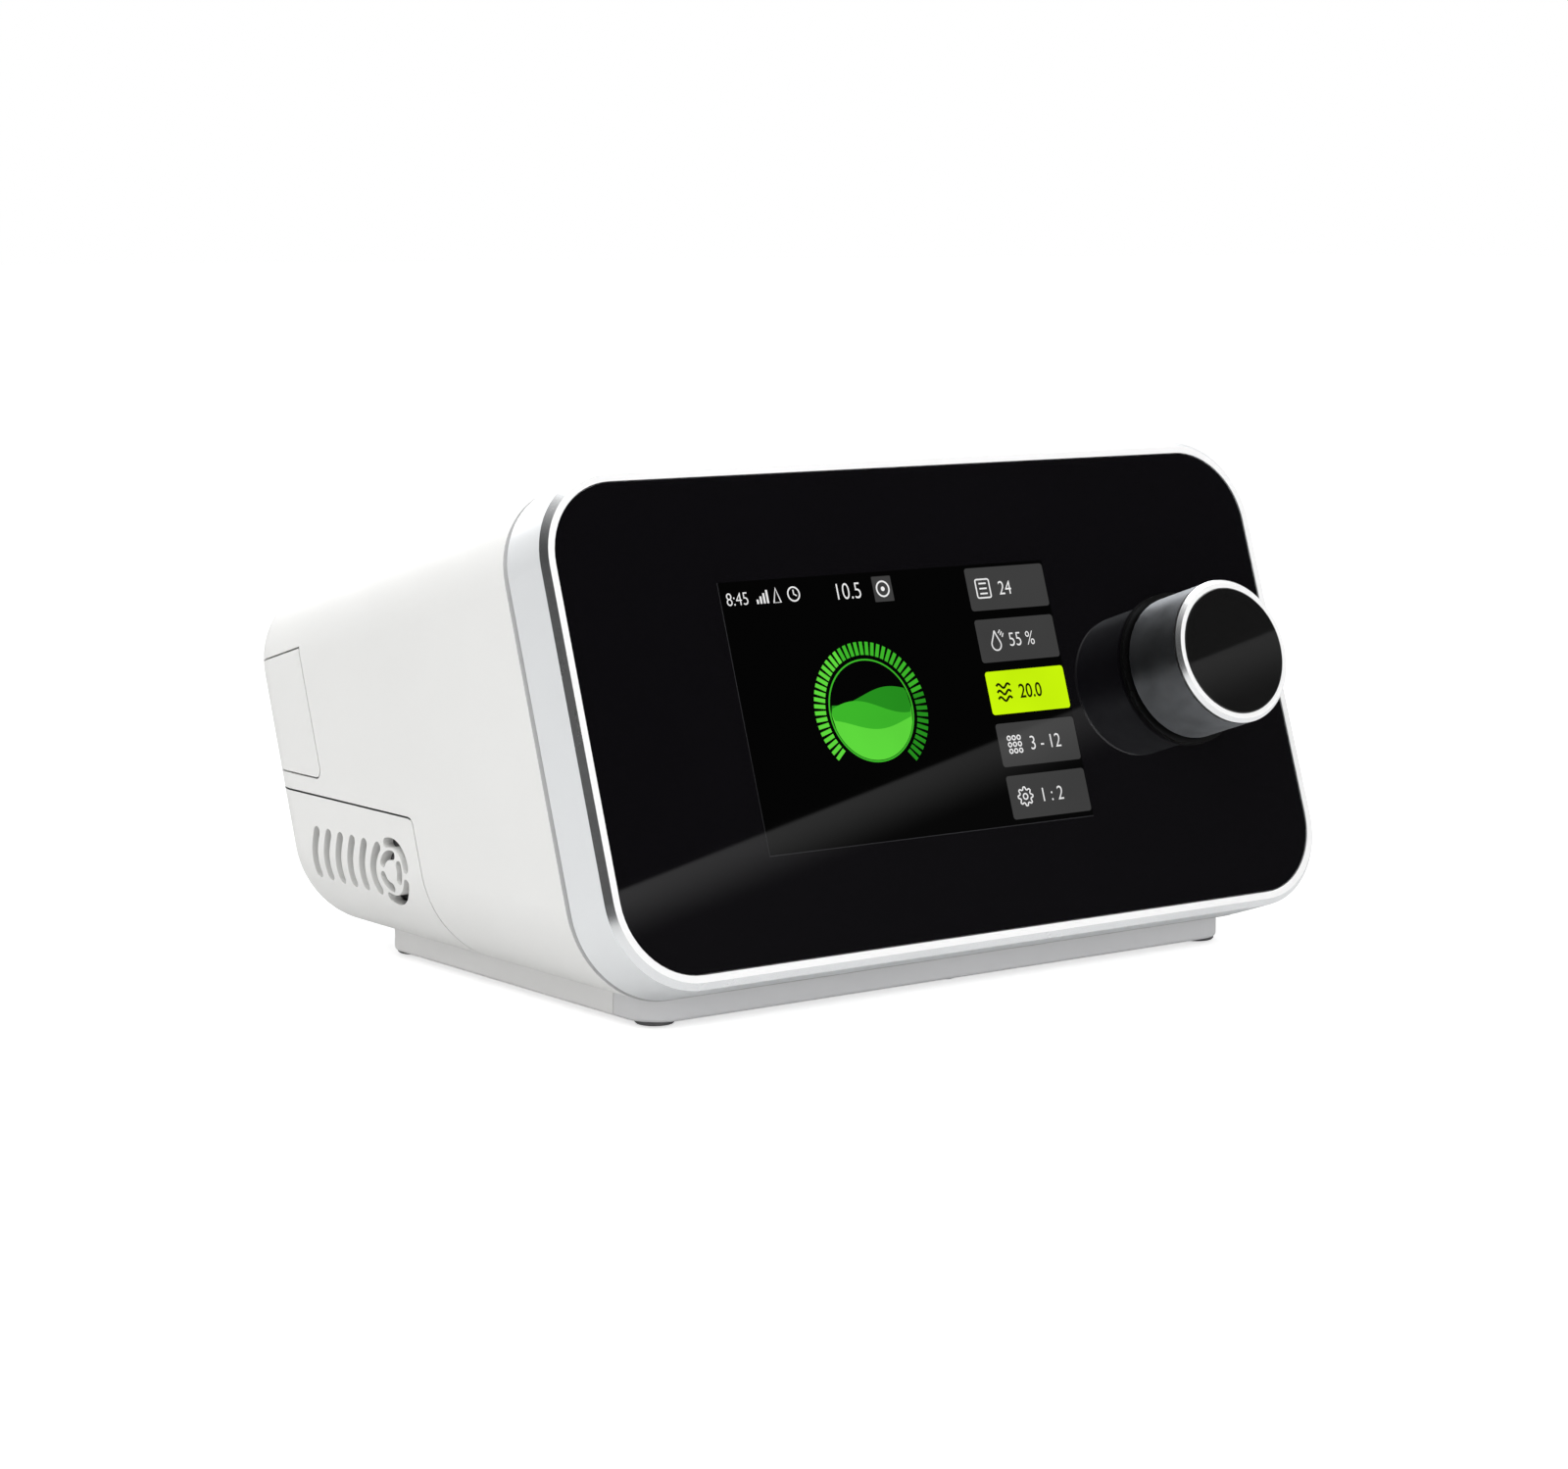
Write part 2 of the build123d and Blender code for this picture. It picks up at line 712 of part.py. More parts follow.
# Base tray and its separate front strip
with BuildPart() as base_form:
    with BuildSketch(Plane.XY.offset(foot_height)):
        RectangleRounded(base_width, base_length, base_radius)
    extrude(amount=under_z - foot_height)
    fillet(base_form.faces().sort_by(Axis.Z)[0].edges(), radius=0.8)
    with BuildSketch(Plane.XY.offset(base_floor_top)):
        RectangleRounded(base_width - 2 * base_wall, base_length - 2 * base_wall, base_radius - base_wall)
    extrude(amount=under_z, mode=Mode.SUBTRACT)
    # pillars under the case bosses
    with BuildSketch(Plane.XY.offset(base_floor_top)):
        with Locations((0, (base_screw_back - base_screw_front) / 2)):
            with GridLocations(2 * base_screw_across, base_screw_front + base_screw_back, 2, 2):
                Circle(pillar_radius)
        with GridLocations(2 * base_screw_side, 1, 2, 1):
            Circle(pillar_radius)
    extrude(amount=under_z - base_floor_top)
    with BuildSketch(Plane.XY.offset(foot_height)):
        with GridLocations(base_width - 2 * foot_inset_x, base_length - 2 * foot_inset_y, 2, 2):
            Circle(foot_radius + 0.1)
    extrude(amount=foot_recess, mode=Mode.SUBTRACT)
    with BuildSketch(Plane.XY.offset(foot_height)):
        with Locations((0, (base_screw_back - base_screw_front) / 2)):
            with GridLocations(2 * base_screw_across, base_screw_front + base_screw_back, 2, 2):
                Circle(screw_radius + screw_clearance)
        with GridLocations(2 * base_screw_side, 1, 2, 1):
            Circle(screw_radius + screw_clearance)
    extrude(amount=under_z, mode=Mode.SUBTRACT)
    with BuildSketch(Plane.XY.offset(foot_height)):
        with Locations((0, (base_screw_back - base_screw_front) / 2)):
            with GridLocations(2 * base_screw_across, base_screw_front + base_screw_back, 2, 2):
                Circle(screw_head + 0.3)
        with GridLocations(2 * base_screw_side, 1, 2, 1):
            Circle(screw_head + 0.3)
    extrude(amount=screw_head_height + 0.3, mode=Mode.SUBTRACT)
with BuildPart() as base_tray:
    add(base_form.part)
    with BuildSketch():
        with Locations((0, front_seam_y - base_length / 2)):
            Rectangle(base_width + 2, base_length)
    extrude(amount=under_z + 1, mode=Mode.SUBTRACT)
    # posts that carry the chassis
    with BuildSketch(Plane.XY.offset(base_floor_top - 0.5)):
        with GridLocations(2 * post_across, 2 * post_along, 2, 2):
            Circle(post_radius)
            Circle(screw_radius + screw_clearance, mode=Mode.SUBTRACT)
    extrude(amount=chassis_z - base_floor_top + 0.5)
with BuildPart() as base_front:
    add(base_form.part)
    with BuildSketch():
        with Locations((0, front_seam_y - base_seam + base_length / 2)):
            Rectangle(base_width + 2, base_length)
    extrude(amount=under_z + 1, mode=Mode.SUBTRACT)
    with BuildSketch(Plane.XY.offset(foot_height - nub_height)):
        with Locations((0, nub_inset - base_half_length)):
            Circle(nub_radius)
    extrude(amount=nub_height + base_floor / 2)
with BuildPart() as rubber_feet:
    with BuildSketch():
        with GridLocations(base_width - 2 * foot_inset_x, base_length - 2 * foot_inset_y, 2, 2):
            Circle(foot_radius)
    extrude(amount=foot_height + foot_recess)
    chamfer(rubber_feet.edges().group_by(Axis.Z)[0], length=0.3)
with BuildPart() as base_screws:
    with BuildSketch(Plane.XY.offset(foot_height + 0.3)):
        with Locations((0, (base_screw_back - base_screw_front) / 2)):
            with GridLocations(2 * base_screw_across, base_screw_front + base_screw_back, 2, 2):
                Circle(screw_head)
        with GridLocations(2 * base_screw_side, 1, 2, 1):
            Circle(screw_head)
    extrude(amount=screw_head_height)
    with BuildSketch(Plane.XY.offset(foot_height + 0.3)):
        with Locations((0, (base_screw_back - base_screw_front) / 2)):
            with GridLocations(2 * base_screw_across, base_screw_front + base_screw_back, 2, 2):
                Circle(screw_radius)
        with GridLocations(2 * base_screw_side, 1, 2, 1):
            Circle(screw_radius)
    extrude(amount=under_z + wall + boss_height - 1.2 - foot_height)

# Chassis plate with the cradle for the outlet tube
with BuildPart() as chassis:
    with BuildSketch(Plane.XY.offset(chassis_z)):
        with Locations((chassis_across, 0)):
            RectangleRounded(chassis_width, chassis_length, chassis_radius)
        with GridLocations(2 * post_across, 2 * post_along, 2, 2):
            Circle(screw_radius + screw_clearance, mode=Mode.SUBTRACT)
    extrude(amount=chassis_thickness)
    with BuildSketch(Plane.XY.offset(chassis_top)):
        with Locations((port_across, cradle_y)):
            Rectangle(2 * tube_radius, cradle_length)
    extrude(amount=outlet_z - chassis_top)
    with BuildSketch(at_rear(0)):
        with Locations((-port_across, outlet_z)):
            Circle(tube_radius + sleeve_clearance)
    extrude(amount=60, mode=Mode.SUBTRACT)
with BuildPart() as chassis_screws:
    with BuildSketch(Plane.XY.offset(chassis_top)):
        with GridLocations(2 * post_across, 2 * post_along, 2, 2):
            Circle(screw_head)
    extrude(amount=screw_head_height)
    with BuildSketch(Plane.XY.offset(chassis_top)):
        with GridLocations(2 * post_across, 2 * post_along, 2, 2):
            Circle(screw_radius)
    extrude(amount=-(chassis_top - base_floor_top))

# Blower box, its lid and its sound lining
box_spot = (box_across, box_along)
with BuildPart() as blower_box:
    with BuildSketch(Plane.XY.offset(chassis_top)):
        with Locations(box_spot):
            RectangleRounded(box_width, box_length, 5)
    extrude(amount=box_height)
    with BuildSketch(Plane.XY.offset(chassis_top + box_wall)):
        with Locations(box_spot):
            RectangleRounded(box_width - 2 * box_wall, box_length - 2 * box_wall, 5 - box_wall)
    extrude(amount=box_height, mode=Mode.SUBTRACT)
    # way in from the filters
    with BuildSketch(Plane.YZ.offset(box_left - 1)):
        with Locations(window_spot):
            RectangleRounded(duct_window_length, filter_height - 6, 1)
    extrude(amount=box_wall + 2, mode=Mode.SUBTRACT)
    # way out for the blower
    with BuildSketch(Plane.YZ.offset(box_right - box_wall - 1)):
        with Locations((outlet_y, outlet_z)):
            Circle(tube_radius + 0.6)
    extrude(amount=box_wall + 2, mode=Mode.SUBTRACT)
    # pockets over the heads of the chassis screws
    with BuildSketch(Plane.XY.offset(chassis_top)):
        with GridLocations(2 * post_across, 2 * post_along, 2, 2):
            Circle(screw_head + 0.4)
    extrude(amount=screw_head_height + 0.3, mode=Mode.SUBTRACT)
with BuildPart() as box_lid:
    with BuildSketch(Plane.XY.offset(box_top)):
        with Locations(box_spot):
            RectangleRounded(box_width, box_length, 5)
    extrude(amount=lid_thickness)
with BuildPart() as box_foam:
    with BuildSketch(Plane.XY.offset(chassis_top + box_wall + fit_gap)):
        with Locations(box_spot):
            RectangleRounded(
                box_width - 2 * (box_wall + fit_gap), box_length - 2 * (box_wall + fit_gap), 2.5
            )
            RectangleRounded(
                box_width - 2 * (box_wall + fit_gap + foam_thickness),
                box_length - 2 * (box_wall + fit_gap + foam_thickness),
                2,
                mode=Mode.SUBTRACT,
            )
    extrude(amount=box_height - box_wall - 2 * fit_gap)
    with BuildSketch(Plane.YZ.offset(box_left)):
        with Locations(window_spot):
            RectangleRounded(duct_window_length, filter_height - 6, 1)
    extrude(amount=box_wall + foam_thickness + 2, mode=Mode.SUBTRACT)
    with BuildSketch(Plane.YZ.offset(box_right - box_wall - foam_thickness - 2)):
        with Locations((outlet_y, outlet_z)):
            Circle(tube_radius + 0.6)
    extrude(amount=foam_thickness + 4, mode=Mode.SUBTRACT)
    with BuildSketch(Plane.XY.offset(chassis_top)):
        with GridLocations(2 * post_across, 2 * post_along, 2, 2):
            Circle(screw_head + 0.4)
    extrude(amount=screw_head_height + 0.3, mode=Mode.SUBTRACT)

# Blower housing in two halves
with BuildPart() as scroll:
    with BuildSketch(Plane.XY.offset(scroll_z)):
        with Locations(box_spot):
            Circle(scroll_radius)
    extrude(amount=scroll_height)
    with BuildSketch(Plane.YZ.offset(box_across)):
        with Locations((outlet_y, outlet_z)):
            Circle(tube_radius)
    extrude(amount=outlet_end - box_across)
    # seat of the upper bearing
    with BuildSketch(Plane.XY.offset(scroll_z)):
        with Locations(box_spot):
            Circle(bearing_radius + bearing_seat)
    extrude(amount=-bearing_height - 1)
    with BuildSketch(Plane.XY.offset(scroll_z + scroll_wall)):
        with Locations(box_spot):
            Circle(scroll_radius - scroll_wall)
    extrude(amount=scroll_height - 2 * scroll_wall, mode=Mode.SUBTRACT)
    with BuildSketch(Plane.YZ.offset(box_across)):
        with Locations((outlet_y, outlet_z)):
            Circle(tube_bore)
    extrude(amount=outlet_end - box_across, mode=Mode.SUBTRACT)
    with BuildSketch(Plane.XY.offset(scroll_z + scroll_height / 2)):
        with Locations(box_spot):
            Circle(eye_radius)
    extrude(amount=scroll_height, mode=Mode.SUBTRACT)
    with BuildSketch(Plane.XY.offset(scroll_z - bearing_height - 2)):
        with Locations(box_spot):
            Circle(bearing_radius + shaft_clearance)
    extrude(amount=bearing_height + 1, mode=Mode.SUBTRACT)
    with BuildSketch(Plane.XY.offset(scroll_z - bearing_height)):
        with Locations(box_spot):
            Circle(spindle_radius + 0.8)
    extrude(amount=bearing_height + scroll_wall + 1, mode=Mode.SUBTRACT)
with BuildPart() as scroll_base:
    add(scroll.part)
    split(bisect_by=Plane.XY.offset(outlet_z), keep=Keep.BOTTOM)
with BuildPart() as scroll_cover:
    add(scroll.part)
    split(bisect_by=Plane.XY.offset(outlet_z), keep=Keep.TOP)

# Motor in its can, standing in a soft boot
lower_bearing_z = motor_z + motor_floor
upper_bearing_z = scroll_z - 1 - bearing_height
magnet_z = (lower_bearing_z + bearing_height + upper_bearing_z - magnet_height) / 2
stator_radius = motor_radius - motor_wall - 0.1
with BuildPart() as motor_can:
    with BuildSketch(Plane.XY.offset(motor_z)):
        with Locations(box_spot):
            Circle(motor_radius)
    extrude(amount=motor_height)
    with BuildSketch(Plane.XY.offset(lower_bearing_z)):
        with Locations(box_spot):
            Circle(motor_radius - motor_wall)
    extrude(amount=motor_height, mode=Mode.SUBTRACT)
    with BuildSketch(Plane.XY.offset(lower_bearing_z)):
        with Locations(box_spot):
            Circle(bearing_radius + bearing_seat)
            Circle(bearing_radius + shaft_clearance, mode=Mode.SUBTRACT)
    extrude(amount=bearing_height)
with BuildPart() as motor_bearings:
    for level in (lower_bearing_z, upper_bearing_z):
        with BuildSketch(Plane.XY.offset(level)):
            with Locations(box_spot):
                Circle(bearing_radius)
                Circle(spindle_radius + shaft_clearance, mode=Mode.SUBTRACT)
        extrude(amount=bearing_height)
with BuildPart() as stator_core:
    with BuildSketch(Plane.XY.offset(magnet_z)):
        with Locations(box_spot):
            Circle(stator_radius)
            Circle(stator_radius - stator_ring, mode=Mode.SUBTRACT)
            with PolarLocations(0, tooth_count):
                with Locations(((stator_bore + stator_radius - 1) / 2, 0)):
                    Rectangle(stator_radius - 1 - stator_bore, tooth_width)
            Circle(stator_bore, mode=Mode.SUBTRACT)
    extrude(amount=magnet_height)
coil_length = stator_radius - stator_ring - stator_bore - 1.9
with BuildPart() as stator_coils:
    with BuildSketch(Plane.XY.offset(magnet_z - 1)):
        with Locations(box_spot):
            with PolarLocations(0, tooth_count):
                with Locations((stator_bore + 0.9 + coil_length / 2, 0)):
                    Rectangle(coil_length, coil_width)
    extrude(amount=magnet_height + 2)
    with BuildSketch(Plane.XY.offset(magnet_z - 0.05)):
        with Locations(box_spot):
            with PolarLocations(0, tooth_count):
                with Locations(((stator_bore + stator_radius) / 2, 0)):
                    Rectangle(stator_radius - stator_bore + 1, tooth_width + 0.1)
    extrude(amount=magnet_height + 0.1, mode=Mode.SUBTRACT)
with BuildPart() as blower_boot:
    with BuildSketch(Plane.XY.offset(chassis_top + box_wall)):
        with Locations(box_spot):
            Circle(motor_radius + boot_wall)
    extrude(amount=boot_height)
    with BuildSketch(Plane.XY.offset(motor_z)):
        with Locations(box_spot):
            Circle(motor_radius + fit_gap)
    extrude(amount=boot_height, mode=Mode.SUBTRACT)

# Rotor: spindle, magnet and wheel
wheel_z = scroll_z + scroll_wall + wheel_lift
with BuildPart() as spindle:
    with BuildSketch(Plane.XY.offset(lower_bearing_z + 0.2)):
        with Locations(box_spot):
            Circle(spindle_radius)
    extrude(amount=wheel_z + wheel_height - lower_bearing_z - 0.2)
with BuildPart() as rotor_magnet:
    with BuildSketch(Plane.XY.offset(magnet_z)):
        with Locations(box_spot):
            Circle(magnet_radius)
            Circle(spindle_radius + shaft_clearance, mode=Mode.SUBTRACT)
    extrude(amount=magnet_height)
with BuildPart() as blower_wheel:
    with BuildSketch(Plane.XY.offset(wheel_z)):
        with Locations(box_spot):
            Circle(wheel_radius)
    extrude(amount=wheel_disc)
    with BuildSketch(Plane.XY.offset(wheel_z)):
        with Locations(box_spot):
            Circle(hub_radius)
            with PolarLocations(0, blade_count):
                with Locations(Location(((hub_radius + wheel_radius) / 2 - 0.5, 0), 25)):
                    Rectangle(wheel_radius - hub_radius - 3.5, blade_thickness)
    extrude(amount=wheel_height)
    with BuildSketch(Plane.XY.offset(wheel_z)):
        with Locations(box_spot):
            Circle(spindle_radius + shaft_clearance)
    extrude(amount=wheel_height, mode=Mode.SUBTRACT)

# Outlet: soft elbow, flow tube with its sensor, seal and hose port
elbow_start = outlet_end - sleeve_lap
tube_end_y = port_seat_y - port_plate
port_collar_y = rear_y(outlet_z + port_collar) + port_proud
with BuildPart() as outlet_elbow:
    with BuildLine():
        FilletPolyline(
            (elbow_start, outlet_y, outlet_z),
            (port_across, outlet_y, outlet_z),
            (port_across, tube_start_y + sleeve_lap, outlet_z),
            radius=elbow_radius,
        )
    with BuildSketch(Plane.YZ.offset(elbow_start)):
        with Locations((outlet_y, outlet_z)):
            Circle(tube_radius + sleeve_clearance + sleeve_wall)
            Circle(tube_radius + sleeve_clearance, mode=Mode.SUBTRACT)
    sweep()
with BuildPart() as flow_tube:
    with BuildSketch(at_rear(tube_start_y)):
        with Locations((-port_across, outlet_z)):
            Circle(tube_radius)
            Circle(tube_bore, mode=Mode.SUBTRACT)
    extrude(amount=tube_end_y - tube_start_y)
with BuildPart() as flow_sensor:
    with BuildSketch(Plane.XY.offset(outlet_z + tube_radius - 2)):
        with Locations((port_across, sensor_y)):
            Rectangle(sensor_size, sensor_size)
    extrude(amount=2 + sensor_height)
    with BuildSketch(at_rear(0)):
        with Locations((-port_across, outlet_z)):
            Circle(tube_radius + 0.05)
    extrude(amount=60, mode=Mode.SUBTRACT)
with BuildPart() as sensor_hoses:
    with BuildSketch(Plane.XY.offset(outlet_z + tube_radius + sensor_height)):
        with Locations((port_across - sensor_size / 4, sensor_y)):
            with GridLocations(1, hose_spacing, 1, 2):
                Circle(hose_radius)
                Circle(hose_radius / 2, mode=Mode.SUBTRACT)
    extrude(amount=board_z - outlet_z - tube_radius - sensor_height)
with BuildPart() as outlet_seal:
    with BuildSketch(at_rear(tube_end_y - seal_height)):
        with Locations((-port_across, outlet_z)):
            Circle(tube_radius + 0.1 + seal_wall)
            Circle(tube_radius + 0.1, mode=Mode.SUBTRACT)
    extrude(amount=seal_height)
with BuildPart() as outlet_port:
    with BuildSketch(at_rear(tube_end_y)):
        with Locations((-port_across, outlet_z)):
            Circle(port_flange)
    extrude(amount=port_plate)
    with BuildSketch(at_rear(port_seat_y)):
        with Locations((-port_across, outlet_z)):
            Circle(port_collar)
    extrude(amount=port_collar_y - port_seat_y)
    with BuildSketch(at_rear(port_collar_y)):
        with Locations((-port_across, outlet_z)):
            Circle(port_radius)
    extrude(amount=port_length)
    chamfer(outlet_port.edges().sort_by(Axis.Y)[-1], length=0.8)
    with BuildSketch(at_rear(tube_end_y)):
        with Locations((-port_across, outlet_z)):
            Circle(tube_bore)
    extrude(amount=port_plate, mode=Mode.SUBTRACT)
    with BuildSketch(at_rear(port_seat_y)):
        with Locations((-port_across, outlet_z)):
            Circle(port_bore)
    extrude(amount=80, mode=Mode.SUBTRACT)

# Power socket
jack_end_y = rear_y(jack_z) - jack_inset
with BuildPart() as power_socket:
    with BuildSketch(at_rear(jack_seat_y - jack_plate)):
        with Locations((-jack_across, jack_z)):
            Circle(jack_flange)
    extrude(amount=jack_plate)
    with BuildSketch(at_rear(jack_seat_y)):
        with Locations((-jack_across, jack_z)):
            Circle(jack_radius)
    extrude(amount=jack_end_y - jack_seat_y)
    with BuildSketch(at_rear(jack_end_y - jack_depth)):
        with Locations((-jack_across, jack_z)):
            Circle(jack_bore)
            Circle(jack_pin, mode=Mode.SUBTRACT)
    extrude(amount=jack_depth + 1, mode=Mode.SUBTRACT)

# Main board over the blower box
board_spot = (main_board_across, main_board_along)
board_top = board_z + board_thickness
standoff_grid = (box_width - 2 * standoff_inset, box_length - 2 * standoff_inset)
with BuildPart() as board_standoffs:
    with BuildSketch(Plane.XY.offset(lid_top)):
        with Locations(box_spot):
            with GridLocations(*standoff_grid, 2, 2):
                Circle(standoff_radius)
                Circle(screw_radius + screw_clearance, mode=Mode.SUBTRACT)
    extrude(amount=standoff_height)
with BuildPart() as main_board:
    with BuildSketch(Plane.XY.offset(board_z)):
        with Locations(board_spot):
            RectangleRounded(main_board_width, main_board_length, 3)
        with Locations(box_spot):
            with GridLocations(*standoff_grid, 2, 2):
                Circle(screw_radius + screw_clearance, mode=Mode.SUBTRACT)
    extrude(amount=board_thickness)
with BuildPart() as board_screws:
    with BuildSketch(Plane.XY.offset(board_top)):
        with Locations(box_spot):
            with GridLocations(*standoff_grid, 2, 2):
                Circle(screw_head)
    extrude(amount=screw_head_height)
    with BuildSketch(Plane.XY.offset(board_top)):
        with Locations(box_spot):
            with GridLocations(*standoff_grid, 2, 2):
                Circle(screw_radius)
    extrude(amount=-(board_thickness + standoff_height - 0.2))
chips = [(-20, 6, 14, 14, 2), (4, 14, 10, 10, 1.6), (24, -4, 12, 8, 2), (-2, -12, 8, 6, 1.6)]
cans = [(36, 16, 4), (36, 26, 4), (26, 26, 4), (46, 20, 3)]
sockets = [(-46, 8, 6, 20, 7), (30, -16, 16, 6, 7), (49, 4, 6, 12, 7)]
with BuildPart() as board_parts:
    for x, y, width, length, height in chips + sockets:
        with BuildSketch(Plane.XY.offset(board_top)):
            with Locations((x, y)):
                Rectangle(width, length)
        extrude(amount=height)
    for x, y, radius in cans:
        with BuildSketch(Plane.XY.offset(board_top)):
            with Locations((x, y)):
                Circle(radius)
        extrude(amount=2.5 * radius)
with BuildPart() as clock_cell:
    with BuildSketch(Plane.XY.offset(board_top)):
        with Locations((-22, 26)):
            Circle(cell_radius)
    extrude(amount=cell_height)
    fillet(clock_cell.faces().sort_by(Axis.Z)[-1].edges(), radius=0.5)

# Ribbon from the display board to the main board
board_edge_y = main_board_along - main_board_length / 2
flex_top = board_top + flex_thickness / 2


def on_face(up, out):
    """Depth and height of a point on the leaning front, up it and out from it."""
    return (bezel_bottom_y + up * sine - out * cosine, bezel_bottom_z + up * cosine + out * sine)


with BuildPart() as display_ribbon:
    with BuildSketch(Plane.YZ.offset(flex_across - flex_width / 2)):
        with BuildLine() as ribbon_path:
            Polyline(
                on_face(flex_up - flex_lap, -board_back - flex_thickness / 2),
                on_face(flex_up, -board_back - flex_thickness / 2),
                (board_edge_y - flex_slope, flex_top + flex_rise),
                (board_edge_y - flex_flat, flex_top),
                (board_edge_y + flex_seat, flex_top),
            )
        trace(line_width=flex_thickness)
    extrude(amount=flex_width)

# Service board with the two sockets behind the port cover
service_x = -half_width + service_board_inset
with BuildPart() as service_board:
    with BuildSketch(Plane.YZ.offset(service_x)):
        with Locations((service_board_front, duct_top)):
            Rectangle(service_board_length, service_board_height, align=(Align.MIN, Align.MIN))
    extrude(amount=board_thickness)
with BuildPart() as card_reader:
    with BuildSketch(Plane.YZ.offset(service_x)):
        with Locations((card_socket_y, card_socket_z)):
            Rectangle(card_socket[1], card_socket[2])
    extrude(amount=-card_socket[0])
    with BuildSketch(Plane.YZ.offset(service_x - 1)):
        with Locations((card_socket_y, card_socket_z)):
            Rectangle(card_socket[1] - 2, card_socket[2] - 1.4)
    extrude(amount=-card_socket[0], mode=Mode.SUBTRACT)
with BuildPart() as data_port:
    with BuildSketch(Plane.YZ.offset(service_x)):
        with Locations((data_socket_y, data_socket_z)):
            RectangleRounded(data_socket[1], data_socket[2], 1.2)
    extrude(amount=-data_socket[0])
    with BuildSketch(Plane.YZ.offset(service_x - 4)):
        with Locations((data_socket_y, data_socket_z)):
            RectangleRounded(data_socket[1] - 1.2, data_socket[2] - 1.2, 0.8)
            Rectangle(data_socket[1] - 4, 0.9, mode=Mode.SUBTRACT)
    extrude(amount=-data_socket[0], mode=Mode.SUBTRACT)

# Alarm speaker
with BuildPart() as speaker:
    with BuildSketch(Plane.XY.offset(chassis_top)):
        with Locations((speaker_across, speaker_along)):
            Circle(speaker_radius)
    extrude(amount=speaker_height)
    with BuildSketch(Plane.XY.offset(chassis_top + speaker_height - 2)):
        with Locations((speaker_across, speaker_along)):
            Circle(speaker_radius - 2)
            Circle(speaker_radius / 2, mode=Mode.SUBTRACT)
    extrude(amount=3, mode=Mode.SUBTRACT)

# Write each piece under its own name
pieces = {
    "main_case": main_case,
    "front_bezel": front_bezel,
    "front_glass": front_glass,
    "display_cell": display_cell,
    "display_light": display_light,
    "display_bracket": display_bracket,
    "display_board": display_board,
    "display_screws": display_screws,
    "display_ribbon": display_ribbon,
    "encoder_body": encoder_body,
    "encoder_bushing": encoder_bushing,
    "press_dome": press_dome,
    "press_plunger": press_plunger,
    "encoder_shaft": encoder_shaft,
    "knob_body": knob_body,
    "knob_rim": knob_rim,
    "knob_cap": knob_cap,
    "knob_base": knob_base,
    "filter_cover": filter_cover,
    "port_cover": port_cover,
    "coarse_filter": coarse_filter,
    "fine_filter": fine_filter,
    "inlet_duct": inlet_duct,
    "base_tray": base_tray,
    "base_front": base_front,
    "base_screws": base_screws,
    "rubber_feet": rubber_feet,
    "chassis": chassis,
    "chassis_screws": chassis_screws,
    "blower_box": blower_box,
    "box_lid": box_lid,
    "box_foam": box_foam,
    "scroll_base": scroll_base,
    "scroll_cover": scroll_cover,
    "motor_can": motor_can,
    "motor_bearings": motor_bearings,
    "stator_core": stator_core,
    "stator_coils": stator_coils,
    "blower_boot": blower_boot,
    "spindle": spindle,
    "rotor_magnet": rotor_magnet,
    "blower_wheel": blower_wheel,
    "outlet_elbow": outlet_elbow,
    "flow_tube": flow_tube,
    "flow_sensor": flow_sensor,
    "sensor_hoses": sensor_hoses,
    "outlet_seal": outlet_seal,
    "outlet_port": outlet_port,
    "power_socket": power_socket,
    "board_standoffs": board_standoffs,
    "main_board": main_board,
    "board_screws": board_screws,
    "board_parts": board_parts,
    "clock_cell": clock_cell,
    "service_board": service_board,
    "card_reader": card_reader,
    "data_port": data_port,
    "speaker": speaker,
}
os.makedirs("parts", exist_ok=True)
for name, piece in pieces.items():
    piece.part.label = name
    export_step(piece.part, f"parts/{name}.step")
    print(name, round(piece.part.volume, 1), len(piece.part.solids()))
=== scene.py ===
import bpy
import bmesh
import json
from math import cos, pi, radians, sin
from mathutils import Matrix, Vector, noise


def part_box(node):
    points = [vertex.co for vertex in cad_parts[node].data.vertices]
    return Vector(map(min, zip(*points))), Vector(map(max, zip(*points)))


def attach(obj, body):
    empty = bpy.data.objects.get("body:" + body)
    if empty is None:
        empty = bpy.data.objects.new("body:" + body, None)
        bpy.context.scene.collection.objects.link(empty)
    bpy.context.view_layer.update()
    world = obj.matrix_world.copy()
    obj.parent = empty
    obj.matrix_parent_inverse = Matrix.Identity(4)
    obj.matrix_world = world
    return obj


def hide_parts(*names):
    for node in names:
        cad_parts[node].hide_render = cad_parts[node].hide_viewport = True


# A table-top breathing-support machine. Lengths are in millimetres and become
# metres where a mesh is made. u runs across the leaning front, v up it from the
# lower edge of the front ring, and out stands away from it.

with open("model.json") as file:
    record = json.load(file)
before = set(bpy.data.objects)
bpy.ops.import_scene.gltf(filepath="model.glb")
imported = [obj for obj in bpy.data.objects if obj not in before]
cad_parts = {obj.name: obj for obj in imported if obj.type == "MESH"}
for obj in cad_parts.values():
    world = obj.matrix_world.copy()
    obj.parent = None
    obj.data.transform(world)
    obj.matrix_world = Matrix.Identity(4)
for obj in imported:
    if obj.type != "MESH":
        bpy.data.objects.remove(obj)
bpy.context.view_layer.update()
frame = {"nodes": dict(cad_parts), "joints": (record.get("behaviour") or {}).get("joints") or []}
nodes = frame["nodes"]
MM = 0.001

# Places that the frame gives

joints = {joint["name"]: joint for joint in frame["joints"]}
outward = Vector(joints["knob_turn"]["axis"]).normalized()
upward = Vector((0, outward.z, -outward.y))
across = Vector((1, 0, 0))
knob_point = Vector(joints["knob_turn"]["pos_m"])
bezel_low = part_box("front_bezel")[0]

# Sizes of the front

